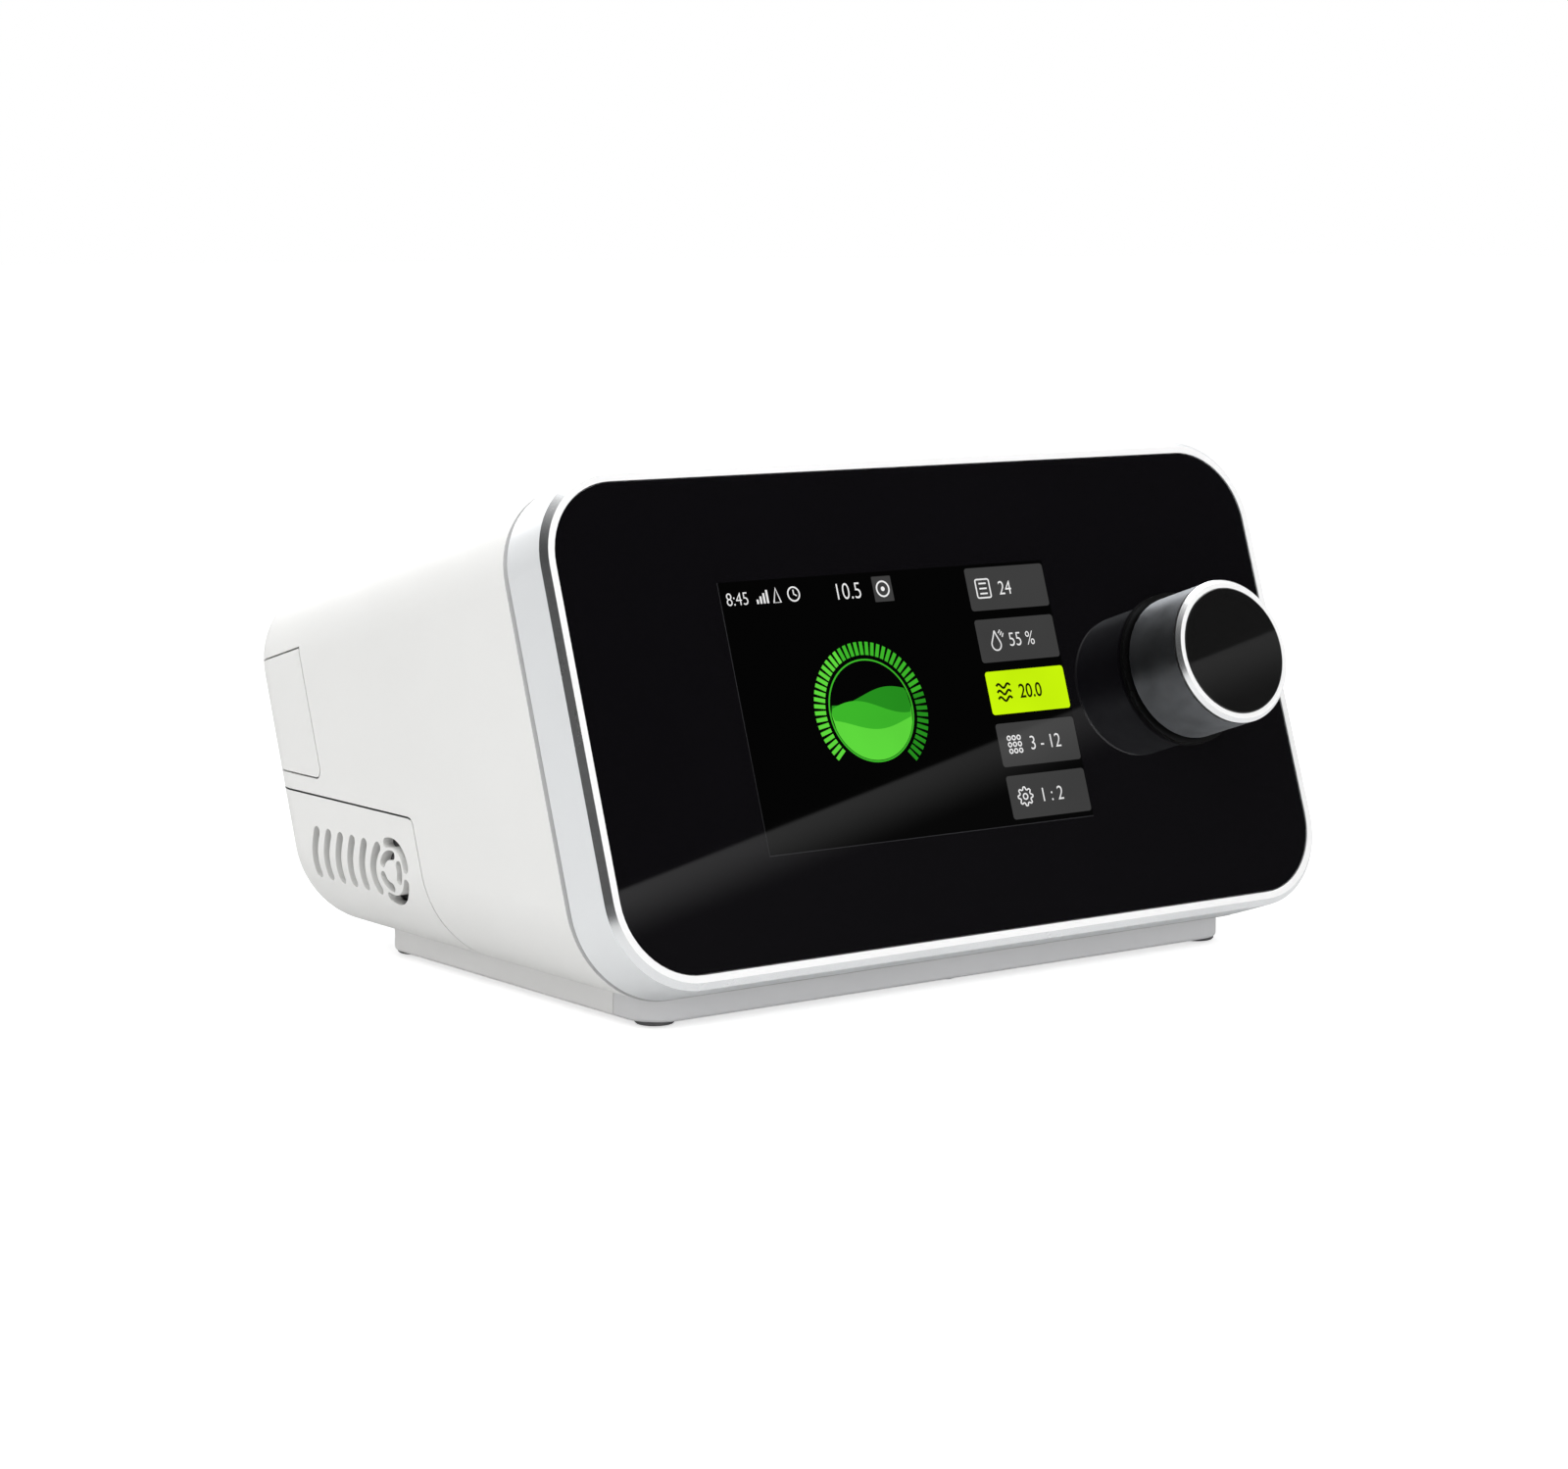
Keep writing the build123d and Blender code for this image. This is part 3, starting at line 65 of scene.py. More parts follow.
glass_recess = 0.2  # how far the glass lies behind the front of the ring
knob_up = 54.0  # the knob's axis over the lower edge of the ring
knob_across = knob_point.x / MM
face_origin = knob_point - knob_across * MM * across - knob_up * MM * upward


def on_face(u, v, out=0.0):
    """A point of the leaning front, in metres."""
    return face_origin + MM * (u * across + v * upward + out * outward)


def face_matrix(u, v, out):
    """Local X across the front, local Y up it, local Z out of it."""
    turn = Matrix((across, upward, outward)).transposed().to_4x4()
    return Matrix.Translation(on_face(u, v, out)) @ turn


# Shader nodes


class NodeTree:
    """The nodes of a material or of the world, put together one by one."""

    def __init__(self, owner):
        owner.use_nodes = True
        self.tree = owner.node_tree

    def add(self, kind, **values):
        node = self.tree.nodes.new(kind)
        for name, value in values.items():
            setattr(node, name, value)
        return node

    def link(self, start, end):
        self.tree.links.new(start, end)

    def math(self, kind, first, second):
        """Two numbers or outputs, put together by a Math node of a kind."""
        node = self.add("ShaderNodeMath", operation=kind)
        for socket, value in zip(node.inputs, (first, second)):
            if isinstance(value, (int, float)):
                socket.default_value = value
            else:
                self.link(value, socket)
        return node.outputs["Value"]

    def ranged(self, value, low, high, start=0.3, end=0.7, smooth=False):
        """value mapped from start..end to low..high; 0.3 to 0.7 suits noise."""
        node = self.add("ShaderNodeMapRange")
        if smooth:
            node.interpolation_type = "SMOOTHSTEP"
        self.link(value, node.inputs["Value"])
        node.inputs["From Min"].default_value = start
        node.inputs["From Max"].default_value = end
        node.inputs["To Min"].default_value = low
        node.inputs["To Max"].default_value = high
        return node.outputs["Result"]


class Surface(NodeTree):
    """A principled material."""

    def __init__(self, name, colour, roughness, metallic=0.0, specular=0.5):
        self.material = bpy.data.materials.new(name)
        super().__init__(self.material)
        self.shader = self.tree.nodes["Principled BSDF"]
        self.shader.inputs["Base Color"].default_value = (*colour, 1)
        self.shader.inputs["Roughness"].default_value = roughness
        self.shader.inputs["Metallic"].default_value = metallic
        self.shader.inputs["Specular IOR Level"].default_value = specular
        self.colour = colour
        self.roughness = roughness
        self.place = self.add("ShaderNodeTexCoord").outputs["Object"]
        self.height = None

    def stretched(self, scale):
        """Object coordinates times a scale in each direction."""
        mapping = self.add("ShaderNodeMapping")
        mapping.inputs["Scale"].default_value = scale
        self.link(self.place, mapping.inputs["Vector"])
        return mapping.outputs["Vector"]

    def noise(self, size, detail=2.0, stretch=(1, 1, 1)):
        """Noise whose lumps are size millimetres across."""
        node = self.add("ShaderNodeTexNoise")
        node.inputs["Scale"].default_value = 1 / (size * MM)
        node.inputs["Detail"].default_value = detail
        self.link(self.stretched(stretch), node.inputs["Vector"])
        return node.outputs["Fac"]

    def shades(self, value, colour, low, high):
        """A colour that goes from low to high times the one given."""
        mix = self.add("ShaderNodeMix", data_type="RGBA")
        self.link(self.ranged(value, 0, 1), mix.inputs["Factor"])
        mix.inputs["A"].default_value = (*[part * low for part in colour], 1)
        mix.inputs["B"].default_value = (*[min(1, part * high) for part in colour], 1)
        return mix.outputs["Result"]

    def tint(self, value, low, high):
        """Base colour from low to high times the written colour."""
        self.link(self.shades(value, self.colour, low, high), self.shader.inputs["Base Color"])

    def shine(self, value, spread):
        """Roughness that varies by spread either way."""
        low = max(0.01, self.roughness - spread)
        self.link(self.ranged(value, low, self.roughness + spread), self.shader.inputs["Roughness"])

    def bump(self, value, strength, depth):
        """Raised grain of a depth in millimetres, over any that is there already."""
        node = self.add("ShaderNodeBump")
        node.inputs["Strength"].default_value = strength
        node.inputs["Distance"].default_value = depth * MM
        self.link(value, node.inputs["Height"])
        if self.height is not None:
            self.link(self.height, node.inputs["Normal"])
        self.height = node.outputs["Normal"]
        self.link(self.height, self.shader.inputs["Normal"])


# Kinds of material


def moulded(name, colour, roughness, grain=0.35, depth=0.02, unevenness=0.04, metallic=0.0):
    """Moulded plastic with a fine grain and a slight unevenness."""
    surface = Surface(name, colour, roughness, metallic)
    surface.tint(surface.noise(60, 3), 0.985, 1.012)
    surface.shine(surface.noise(9, 3), unevenness)
    surface.bump(surface.noise(grain, 2), 0.35, depth)
    return surface.material


def painted(name, colour, roughness, metallic=0.0):
    """Plastic under a thin, even paint."""
    return moulded(name, colour, roughness, grain=0.2, depth=0.006, unevenness=0.008, metallic=metallic)


def brushed(name, colour, roughness, stretch):
    """Metal with fine lines that run along the direction of least stretch."""
    surface = Surface(name, colour, roughness, metallic=1.0)
    lines = surface.noise(0.3, 2, stretch)
    surface.tint(lines, 0.94, 1.06)
    surface.shine(surface.noise(0.9, 3, stretch), 0.04)
    surface.bump(lines, 0.1, 0.004)
    return surface.material


def satin_turned(name, colour, roughness, axis):
    """Satin metal turned on a lathe, whose gloss spreads along the axis."""
    surface = Surface(name, colour, roughness, metallic=1.0)
    surface.tint(surface.noise(5, 3), 0.92, 1.08)
    surface.shine(surface.noise(3, 3), 0.04)
    surface.shader.inputs["Anisotropic"].default_value = 0.85
    direction = surface.add("ShaderNodeCombineXYZ")
    for socket, part in zip(direction.inputs, axis):
        socket.default_value = part
    surface.link(direction.outputs["Vector"], surface.shader.inputs["Tangent"])
    return surface.material


def foam(name, colour, pore):
    """Open foam with pores of a size in millimetres."""
    surface = Surface(name, colour, 0.9, specular=0.1)
    cells = surface.add("ShaderNodeTexVoronoi")
    cells.inputs["Scale"].default_value = 1 / (pore * MM)
    surface.link(surface.place, cells.inputs["Vector"])
    surface.tint(cells.outputs["Distance"], 0.35, 1.3)
    surface.bump(cells.outputs["Distance"], 0.8, pore * 0.4)
    return surface.material


def circuit(name, colour, roughness):
    """A board with patches of slanting copper runs under its lacquer."""
    run_step = 1.4
    patch_size = 9
    surface = Surface(name, colour, roughness)
    waves = surface.add("ShaderNodeTexWave", bands_direction="DIAGONAL")
    waves.inputs["Scale"].default_value = 0.63 / (run_step * MM)
    surface.link(surface.place, waves.inputs["Vector"])
    runs = surface.ranged(waves.outputs["Fac"], 0, 1, 0.6, 0.75)
    patches = surface.ranged(surface.noise(patch_size, 0), 0, 1, 0.5, 0.51)
    copper = surface.math("MULTIPLY", runs, patches)
    surface.tint(copper, 0.85, 1.7)
    surface.bump(copper, 0.3, 0.03)
    return surface.material


def rubber(name, colour):
    """Dull rubber with a dusty unevenness."""
    surface = Surface(name, colour, 0.75, specular=0.3)
    surface.tint(surface.noise(4, 4), 0.8, 1.3)
    surface.bump(surface.noise(0.4, 3), 0.4, 0.03)
    return surface.material


def polished(name, colour, roughness, metallic=0.0, specular=0.5):
    """A glossy surface with faint wipe marks."""
    surface = Surface(name, colour, roughness, metallic, specular)
    surface.tint(surface.noise(30, 3), 0.95, 1.05)
    surface.shine(surface.noise(14, 5, (1, 1, 0.35)), roughness * 0.15)
    return surface.material


def glowing(name, colour):
    """A lit part of the display, as glossy as the glass."""
    surface = Surface(name, (0, 0, 0), 0.02)
    surface.shader.inputs["Emission Strength"].default_value = 1
    light = surface.shades(surface.noise(20, 2), colour, 0.93, 1.05)
    surface.link(light, surface.shader.inputs["Emission Color"])
    return surface.material


# Materials

mirror_gloss = 0.012  # roughness of the glass and of the knob's cap
lines_along_x = (0.1, 1, 1)
lines_along_z = (1, 1, 0.2)
lines_round_z = (1, 1, 8)

case_white = moulded("case_white", (0.80, 0.80, 0.785), 0.42)
tray_white = moulded("tray_white", (0.91, 0.905, 0.895), 0.45)
strip_grey = moulded("strip_grey", (0.78, 0.78, 0.79), 0.45)
inner_grey = moulded("inner_grey", (0.42, 0.43, 0.45), 0.5)
# painted shade for the inside of the joint between the case and the front ring
joint_shade_grey = moulded("joint_shade_grey", (0.60, 0.60, 0.60), 0.6)
inner_black = moulded("inner_black", (0.02, 0.02, 0.022), 0.45)
film_amber = moulded("film_amber", (0.42, 0.16, 0.02), 0.3)
diffuser_white = moulded("diffuser_white", (0.82, 0.82, 0.8), 0.5)
ring_silver = painted("ring_silver", (0.75, 0.765, 0.775), 0.36, metallic=0.5)
lip_white = painted("lip_white", (0.90, 0.90, 0.90), 0.3)
glass_black = polished("glass_black", (0.0026, 0.0023, 0.0031), mirror_gloss)
cap_black = polished("cap_black", (0.0062, 0.0062, 0.0062), mirror_gloss)
trim_black = polished("trim_black", (0.003, 0.003, 0.003), 0.3, specular=0.3)
chamfer_metal = polished("chamfer_metal", (0.78, 0.79, 0.8), 0.26, metallic=1.0)
rim_metal = polished("rim_metal", (0.85, 0.86, 0.87), 0.24, metallic=1.0)
knob_metal = satin_turned("knob_metal", (0.26, 0.27, 0.285), 0.42, outward)
steel = brushed("steel", (0.55, 0.55, 0.56), 0.32, lines_along_x)
brass_plate = brushed("brass_plate", (0.62, 0.56, 0.4), 0.3, lines_along_z)
magnet_dark = brushed("magnet_dark", (0.22, 0.22, 0.23), 0.4, lines_along_z)
copper_wire = brushed("copper_wire", (0.7, 0.3, 0.12), 0.3, lines_round_z)
rubber_black = rubber("rubber_black", (0.11, 0.11, 0.112))
rubber_grey = rubber("rubber_grey", (0.28, 0.29, 0.3))
foam_grey = foam("foam_grey", (0.12, 0.12, 0.125), pore=0.9)
felt_white = foam("felt_white", (0.72, 0.73, 0.74), pore=0.5)
foam_black = foam("foam_black", (0.03, 0.03, 0.032), pore=1.1)
board_green = circuit("board_green", (0.012, 0.10, 0.035), 0.35)

# Mesh helpers


def new_object(name, data):
    """An object of the scene that shows the data."""
    obj = bpy.data.objects.new(name, data)
    bpy.context.scene.collection.objects.link(obj)
    return obj


def piece(name, mesh_data, material, body="machine", smooth=True):
    """A mesh object of the part, riding on a body."""
    mesh_data.materials.append(material)
    for face in mesh_data.polygons:
        face.use_smooth = smooth
    obj = new_object(name, mesh_data)
    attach(obj, body)
    return obj


def from_bmesh(name, shape):
    """The finished mesh of a bmesh, with its normals outward."""
    bmesh.ops.recalc_face_normals(shape, faces=shape.faces)
    data = bpy.data.meshes.new(name)
    shape.to_mesh(data)
    shape.free()
    return data


def round_point(centre, radius, angle):
    """The point of a circle at an angle, anticlockwise from the right."""
    return (centre[0] + radius * cos(angle), centre[1] + radius * sin(angle))


def circle_outline(centre, radius, steps):
    """Points round a circle."""
    return [round_point(centre, radius, 2 * pi * step / steps) for step in range(steps)]


def rounded_outline(centre, width, height, radius, steps=8):
    """Corner points of a rounded rectangle, anticlockwise."""
    points = []
    for turn, (side, level) in enumerate(((1, 1), (-1, 1), (-1, -1), (1, -1))):
        middle = (centre[0] + side * (width / 2 - radius), centre[1] + level * (height / 2 - radius))
        for step in range(steps + 1):
            angle = turn * pi / 2 + step / steps * pi / 2
            points.append(round_point(middle, radius, angle))
    return points


class Plates:
    """Thin flat shapes on the front, gathered into one mesh."""

    def __init__(self, low, thickness):
        self.shape = bmesh.new()
        self.low = low
        self.high = low + thickness

    def add(self, points):
        """A plate with one outline, given in u and v."""
        under = [self.shape.verts.new(on_face(u, v, self.low)) for u, v in points]
        over = [self.shape.verts.new(on_face(u, v, self.high)) for u, v in points]
        self.shape.faces.new(over)
        self.shape.faces.new(list(reversed(under)))
        for step in range(len(points)):
            following = (step + 1) % len(points)
            self.shape.faces.new((under[step], under[following], over[following], over[step]))

    def strip(self, points, width, closed=False):
        """A line of constant width through the points."""
        count = len(points)
        sides = []
        for index in range(count):
            point = Vector(points[index])
            before = points[index - 1] if closed or index else point
            after = points[(index + 1) % count] if closed or index < count - 1 else point
            run = (Vector(after) - Vector(before)).normalized()
            to_side = Vector((-run.y, run.x)) * width / 2
            sides.append((point + to_side, point - to_side))
        for index in range(count if closed else count - 1):
            left, right = sides[index]
            next_left, next_right = sides[(index + 1) % count]
            self.add([right, next_right, next_left, left])

    def ring(self, centre, radius, width, steps):
        """A round line of constant width."""
        self.strip(circle_outline(centre, radius, steps), width, closed=True)

    def finish(self, name, material):
        """The piece, which no glossy surface mirrors."""
        bmesh.ops.remove_doubles(self.shape, verts=self.shape.verts, dist=1e-7)
        plates = piece(name, from_bmesh(name, self.shape), material, smooth=False)
        plates.visible_glossy = False


# The frame's own nodes

FINISHES = {
    case_white: ("main_case", "filter_cover", "port_cover"),
    ring_silver: ("front_bezel",),
    cap_black: ("knob_cap", "display_cell"),
    trim_black: ("knob_base",),
    knob_metal: ("knob_body",),
    lip_white: ("knob_rim",),
    tray_white: ("base_tray",),
    strip_grey: ("base_front", "outlet_port"),
    rubber_black: ("rubber_feet",),
    rubber_grey: ("outlet_elbow", "blower_boot", "outlet_seal", "sensor_hoses"),
    inner_grey: (
        "inlet_duct", "chassis", "flow_tube", "display_bracket", "scroll_base", "scroll_cover",
        "blower_wheel",
    ),
    inner_black: (
        "blower_box", "box_lid", "encoder_body", "speaker", "power_socket", "flow_sensor",
        "press_plunger", "board_parts",
    ),
    steel: (
        "spindle", "motor_can", "motor_bearings", "encoder_shaft", "encoder_bushing", "display_screws",
        "board_screws", "chassis_screws", "base_screws", "card_reader", "data_port", "clock_cell",
        "press_dome", "stator_core",
    ),
    brass_plate: ("board_standoffs",),
    copper_wire: ("stator_coils",),
    board_green: ("display_board", "main_board", "service_board"),
    film_amber: ("display_ribbon",),
    magnet_dark: ("rotor_magnet",),
    diffuser_white: ("display_light",),
}
for material, names in FINISHES.items():
    for name in names:
        nodes[name].data.materials.clear()
        nodes[name].data.materials.append(material)


def face_finish(name, material, chosen):
    """Another finish on the faces of a node that a test picks."""
    data = nodes[name].data
    data.materials.append(material)
    index = len(data.materials) - 1
    for face in data.polygons:
        if chosen(face):
            face.material_index = index


def looks_outward(low, high):
    """A test for faces by how far they look out of the front, from -1 to 1."""
    return lambda face: low < face.normal.dot(outward) < high


flat = looks_outward(0.98, 1.01)
slanted = looks_outward(0.5, 0.9)
round_side = looks_outward(-0.2, 0.9)
face_finish("front_bezel", lip_white, flat)
face_finish("front_bezel", chamfer_metal, slanted)
face_finish("knob_rim", rim_metal, round_side)
# painted shade: the case's faces that look out of the front, inside the joint with the front ring, are
# painted grey for the shade that falls in the joint
face_finish("main_case", joint_shade_grey, flat)

# painted shade: the faces inside the joint above the lower cover are painted black for the shade that falls
# in the joint
joint_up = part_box("filter_cover")[1].z
joint_slack = 0.7 * MM
joint_right = bezel_low.x + 4 * MM


def in_shaded_joint(facing):
    """A test for faces at the joint that look up, for 1, or down, for -1."""

    def chosen(face):
        near = abs(face.center.z - joint_up) < joint_slack and face.center.x < joint_right
        return near and face.normal.z * facing > 0.9

    return chosen


# painted shade: black on the white faces inside the joint
face_finish("main_case", inner_black, in_shaded_joint(-1))
face_finish("filter_cover", inner_black, in_shaded_joint(1))

# The glass, with the ground edge that its solid leaves out

ground_edge = 0.6
glass_data = nodes["front_glass"].data.copy()
glass_data.materials.clear()
ground_glass = piece("ground_glass", glass_data, glass_black)
rounding = ground_glass.modifiers.new("rounding", "BEVEL")
rounding.width = ground_edge * MM
rounding.segments = 4
rounding.limit_method = "ANGLE"
rounding.harden_normals = True
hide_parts("front_glass")

# Foam

foam_core = 0.985  # size of a foam piece beside its solid, without the pores
pore_depth = 0.008  # how much the pores change that, either way
pore_step = 1.3


def foam_block(name, node, material, voxel, crown=0.0, body="machine"):
    """A foam piece with softened edges and crowned sides, in the space of its node."""
    data = nodes[node].data.copy()
    holder = new_object(name + "_holder", data)
    remesh = holder.modifiers.new("remesh", "REMESH")
    remesh.mode = "VOXEL"
    remesh.voxel_size = voxel * MM
    soften = holder.modifiers.new("soften", "SMOOTH")
    soften.iterations = 6
    soften.factor = 0.5
    graph = bpy.context.evaluated_depsgraph_get()
    shape = bpy.data.meshes.new_from_object(holder.evaluated_get(graph))
    shape.name = name
    bpy.data.objects.remove(holder)
    bpy.data.meshes.remove(data)
    low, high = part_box(node)
    middle = (low + high) / 2
    half = (high - low) / 2
    edge_crown = crown / 4
    for vertex in shape.vertices:
        along = vertex.co - middle
        part = Vector((along.x / half.x, along.y / half.y, along.z / half.z))
        fullness = (1 - part.y ** 2) * (1 - part.z ** 2)
        along.x *= 1 - crown * (1 - fullness)
        along.y *= 1 - edge_crown * (1 - part.z ** 2)
        along.z *= 1 - edge_crown * (1 - part.y ** 2)
        pores = noise.noise(vertex.co / (pore_step * MM))
        vertex.co = middle + along * (foam_core + pore_depth * pores)
    shape.materials.clear()
    block = piece(name, shape, material, body=body)
    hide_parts(node)


foam_block("coarse_foam", "coarse_filter", foam_grey, 0.9, crown=0.14, body="filter_door")
foam_block("fine_felt", "fine_filter", felt_white, 0.6, crown=0.12)
foam_block("sound_liner", "box_foam", foam_black, 1.2)

# Display

screen_left, screen_right = -54.8, 31.1
screen_low, screen_high = 24.3, 80.5
layer_gap = 0.02  # from the glass to the first drawn layer
layer_thickness = 0.02
border_width = 0.22
figure_layer = 2
figure_width = 0.86  # width of the figures beside the font's own
font_size = 1.38  # size of the font beside the height of its figures

screen_black = polished("screen_black", (0.0, 0.0, 0.0), mirror_gloss)
screen_edge = polished("screen_edge", (0.022, 0.022, 0.024), mirror_gloss)
button_grey = glowing("button_grey", (0.047, 0.047, 0.047))
button_lime = glowing("button_lime", (0.578, 0.913, 0.002))
line_white = glowing("line_white", (0.84, 0.84, 0.84))
line_black = glowing("line_black", (0.008, 0.010, 0.0))


def layer_low(number):
    """How far out a drawn layer begins."""
    return layer_gap - glass_recess + layer_thickness * number


def layer(number):
    """Empty plates for a drawn layer; the layers lie one over another."""
    return Plates(layer_low(number), layer_thickness)


def figures(name, text, height, place, material, weight):
    """Plain figures that lie on the front, from the place to the right."""
    curve = bpy.data.curves.new(name + "_outline", "FONT")
    curve.body = text
    curve.size = height * font_size * MM
    curve.extrude = layer_thickness / 2 * MM
    curve.offset = weight * MM
    holder = new_object(name + "_holder", curve)
    bpy.context.view_layer.update()
    data = bpy.data.meshes.new_from_object(holder)
    data.name = name
    bpy.data.objects.remove(holder)
    bpy.data.curves.remove(curve)
    level = layer_low(figure_layer + 0.5)
    data.transform(face_matrix(*place, level) @ Matrix.Diagonal((figure_width, 1, 1, 1)))
    piece(name, data, material, smooth=False)


# Screen

screen = layer(0)
screen.add([
    (screen_left, screen_low),
    (screen_right, screen_low),
    (screen_right, screen_high),
    (screen_left, screen_high),
])
screen.finish("screen_field", screen_black)
edge = layer(1)
corner = (screen_left, screen_low)
edge.strip([(screen_left, screen_high), corner, (screen_right, screen_low)], border_width)
edge.finish("screen_border", screen_edge)

# Buttons, and the mark at the end of the status row

button_left = 9.3
button_width = 21.6
button_height = 9.3
button_top = 79.8
button_step = 11.25
button_corner = 0.7
lit_row = 2
mark_middle = (-13.2, 76.8)
rows = [button_top - button_height / 2 - row * button_step for row in range(5)]

buttons = layer(1)
lime = layer(1)
for row, row_up in enumerate(rows):
    plate = lime if row == lit_row else buttons
    centre = (button_left + button_width / 2, row_up)
    plate.add(rounded_outline(centre, button_width, button_height, button_corner))
buttons.add(rounded_outline(mark_middle, 5.0, 5.4, 0.2, steps=2))
buttons.finish("button_plates", button_grey)
lime.finish("button_plate_lit", button_lime)

# Icons, each drawn round a middle


def page_icon(plates, middle):
    """A list on a page."""
    u, v = middle
    plates.strip(rounded_outline((u - 0.1, v + 0.1), 3.7, 4.0, 0.4, steps=3), 0.32, closed=True)
    for lift in (-1.0, 0.1, 1.2):
        plates.strip([(u - 1.1, v + lift), (u + 0.9, v + lift)], 0.34)


def drop_icon(plates, middle):
    """A drop with three short strokes."""
    u, v = middle
    radius = 1.25
    drop = []
    for step in range(32):
        angle = 2 * pi * step / 32
        pull = max(0.0, cos(angle)) ** 3
        drop_u = u + 0.5 + radius * sin(angle) * (1 - 0.75 * pull)
        drop_v = v - 0.9 + radius * cos(angle) + 1.7 * pull
        drop.append((drop_u, drop_v))
    plates.strip(drop, 0.3, closed=True)
    for shift in (0.0, 0.75, 1.5):
        low = (u + 1.5 + shift * 0.6, v + 1.5 - shift * 0.6)
        high = (u + 2.1 + shift * 0.5, v + 2.2 - shift * 0.5)
        plates.strip([low, high], 0.26)


def wave_icon(plates, middle):
    """Three waves."""
    u, v = middle
    half_width = 1.9
    swing = 0.45
    for lift in (-1.4, 0.0, 1.4):
        wave = []
        for step in range(25):
            wave_u = u - half_width + 2 * half_width * step / 24
            wave.append((wave_u, v + lift + swing * sin(2 * pi * step / 16)))
        plates.strip(wave, 0.5)


def grid_icon(plates, middle):
    """A grid of small rings."""
    u, v = middle
    for shift in (-1.35, 0.0, 1.35):
        for lift in (-1.4, 0.0, 1.4):
            plates.ring((u + shift, v + lift), 0.45, 0.28, 12)


def wheel_icon(plates, middle):
    """A toothed wheel."""
    teeth = 8
    wheel = []
    for step in range(64):
        angle = 2 * pi * step / 64
        tooth = max(-1.0, min(1.0, 2.2 * cos(teeth * angle)))
        wheel.append(round_point(middle, 1.75 + 0.26 * tooth, angle))
    plates.strip(wheel, 0.3, closed=True)
    plates.ring(middle, 0.6, 0.3, 20)


icon_across = 13.6  # middle of the icons in the buttons
lines = layer(figure_layer)
dark_lines = layer(figure_layer)
page_icon(lines, (icon_across, rows[0]))
drop_icon(lines, (icon_across, rows[1]))
wave_icon(dark_lines, (icon_across, rows[lit_row]))
grid_icon(lines, (icon_across, rows[3]))
wheel_icon(lines, (icon_across, rows[4]))

# Status row: signal bars, a pointer, a clock and a ring with a dot

status_low = 75.6
bars_left = -45.6
bar_step = 0.85
bar_rise = 0.62
clock_middle = (-36.3, 77.1)
for index in range(4):
    bar_across = bars_left + bar_step * index
    lines.strip([(bar_across, status_low), (bar_across, 76.5 + bar_rise * index)], 0.5)
lines.strip([(-41.6, status_low), (-40.7, 78.6), (-39.8, status_low)], 0.36, closed=True)
lines.ring(clock_middle, 1.45, 0.32, 32)
lines.strip([(-36.3, 78.0), clock_middle, (-35.6, 76.7)], 0.28)
lines.ring(mark_middle, 1.6, 0.36, 32)
lines.add(circle_outline(mark_middle, 0.5, 20))
lines.finish("drawn_lines", line_white)
dark_lines.finish("drawn_dark_lines", line_black)

# Figures; the weight thickens or thins their strokes

figure_left = 17.6  # start of the figures in the buttons
figure_height = 3.1
figure_drop = 1.5  # from the middle of a button down to the foot of its figures
figures("figures_time", "8:45", 2.8, (-53.4, status_low), line_white, weight=-0.04)
figures("figures_level", "10.5", 3.6, (-26.1, 75.2), line_white, weight=-0.05)
for name, text, row in (("a", "24", 0), ("b", "55 %", 1), ("d", "3 - 12", 3), ("e", "1 : 2", 4)):
    place = (figure_left, rows[row] - figure_drop)
    figures("figures_" + name, text, figure_height, place, line_white, weight=-0.03)
lit_place = (figure_left, rows[lit_row] - figure_drop)
figures("figures_c", "20.0", figure_height, lit_place, line_black, weight=0.05)

# Green gauge: a ring of short strokes round a circle filled with waves

gauge_middle = (-22.3, 51.6)
gauge_radius = 13.0
gauge_fill_radius = gauge_radius - 2.6
stroke_turn = 6  # degrees from stroke to stroke
greens = {
    1: glowing("green_deep", (0.018, 0.27, 0.012)),
    2: glowing("green_mid", (0.045, 0.46, 0.022)),
    3: glowing("green_light", (0.11, 0.68, 0.045)),
}


def gauge_strokes(start, end):
    """Strokes that point away from the middle, between two angles in degrees."""
    strokes = layer(1)
    for step in range(int((end - start) / stroke_turn)):
        angle = radians(start + stroke_turn * step)
        inner = round_point(gauge_middle, gauge_radius - 1.3, angle)
        outer = round_point(gauge_middle, gauge_radius + 1.5, angle)
        strokes.strip([inner, outer], 0.85)
    return strokes


def gauge_wave(level, phase, swing):
    """Outline of the part of the circle under a wave."""
    upper = []
    lower = []
    for step in range(41):
        part = -1 + step / 20
        u = gauge_middle[0] + part * gauge_fill_radius
        reach = max(0.0, 1 - part * part) ** 0.5 * gauge_fill_radius
        wave = level + swing * sin(2.4 * part + phase)
        upper.append((u, gauge_middle[1] + max(-reach, min(reach, wave))))
        lower.append((u, gauge_middle[1] - reach))
    return lower + list(reversed(upper))


# shade, and the angles between which its strokes lie
for shade, start, end in ((1, -50, 16), (2, 16, 118), (3, 118, 230)):
    gauge_strokes(start, end).finish("gauge_ring_%d" % shade, greens[shade])
# shade, which is also the layer, and height, phase and swing of each wave
for shade, level, phase, swing in ((1, 3.2, 0.4, 1.5), (2, 0.6, 2.6, 1.7), (3, -2.6, 4.4, 1.4)):
    fill = layer(shade)
    fill.add(gauge_wave(level, phase, swing))
    fill.finish("gauge_fill_%d" % shade, greens[shade])
rim = layer(1)
rim.ring(gauge_middle, gauge_radius - 2.3, 0.35, 72)
rim.finish("gauge_rim", greens[2])

# Lamps, in metres

lit_point = Vector((0, 0, 0.05))


def aimed(obj, direction):
    """Turns a lamp or camera to look in a direction."""
    obj.rotation_euler = direction.to_track_quat("-Z", "Y").to_euler()


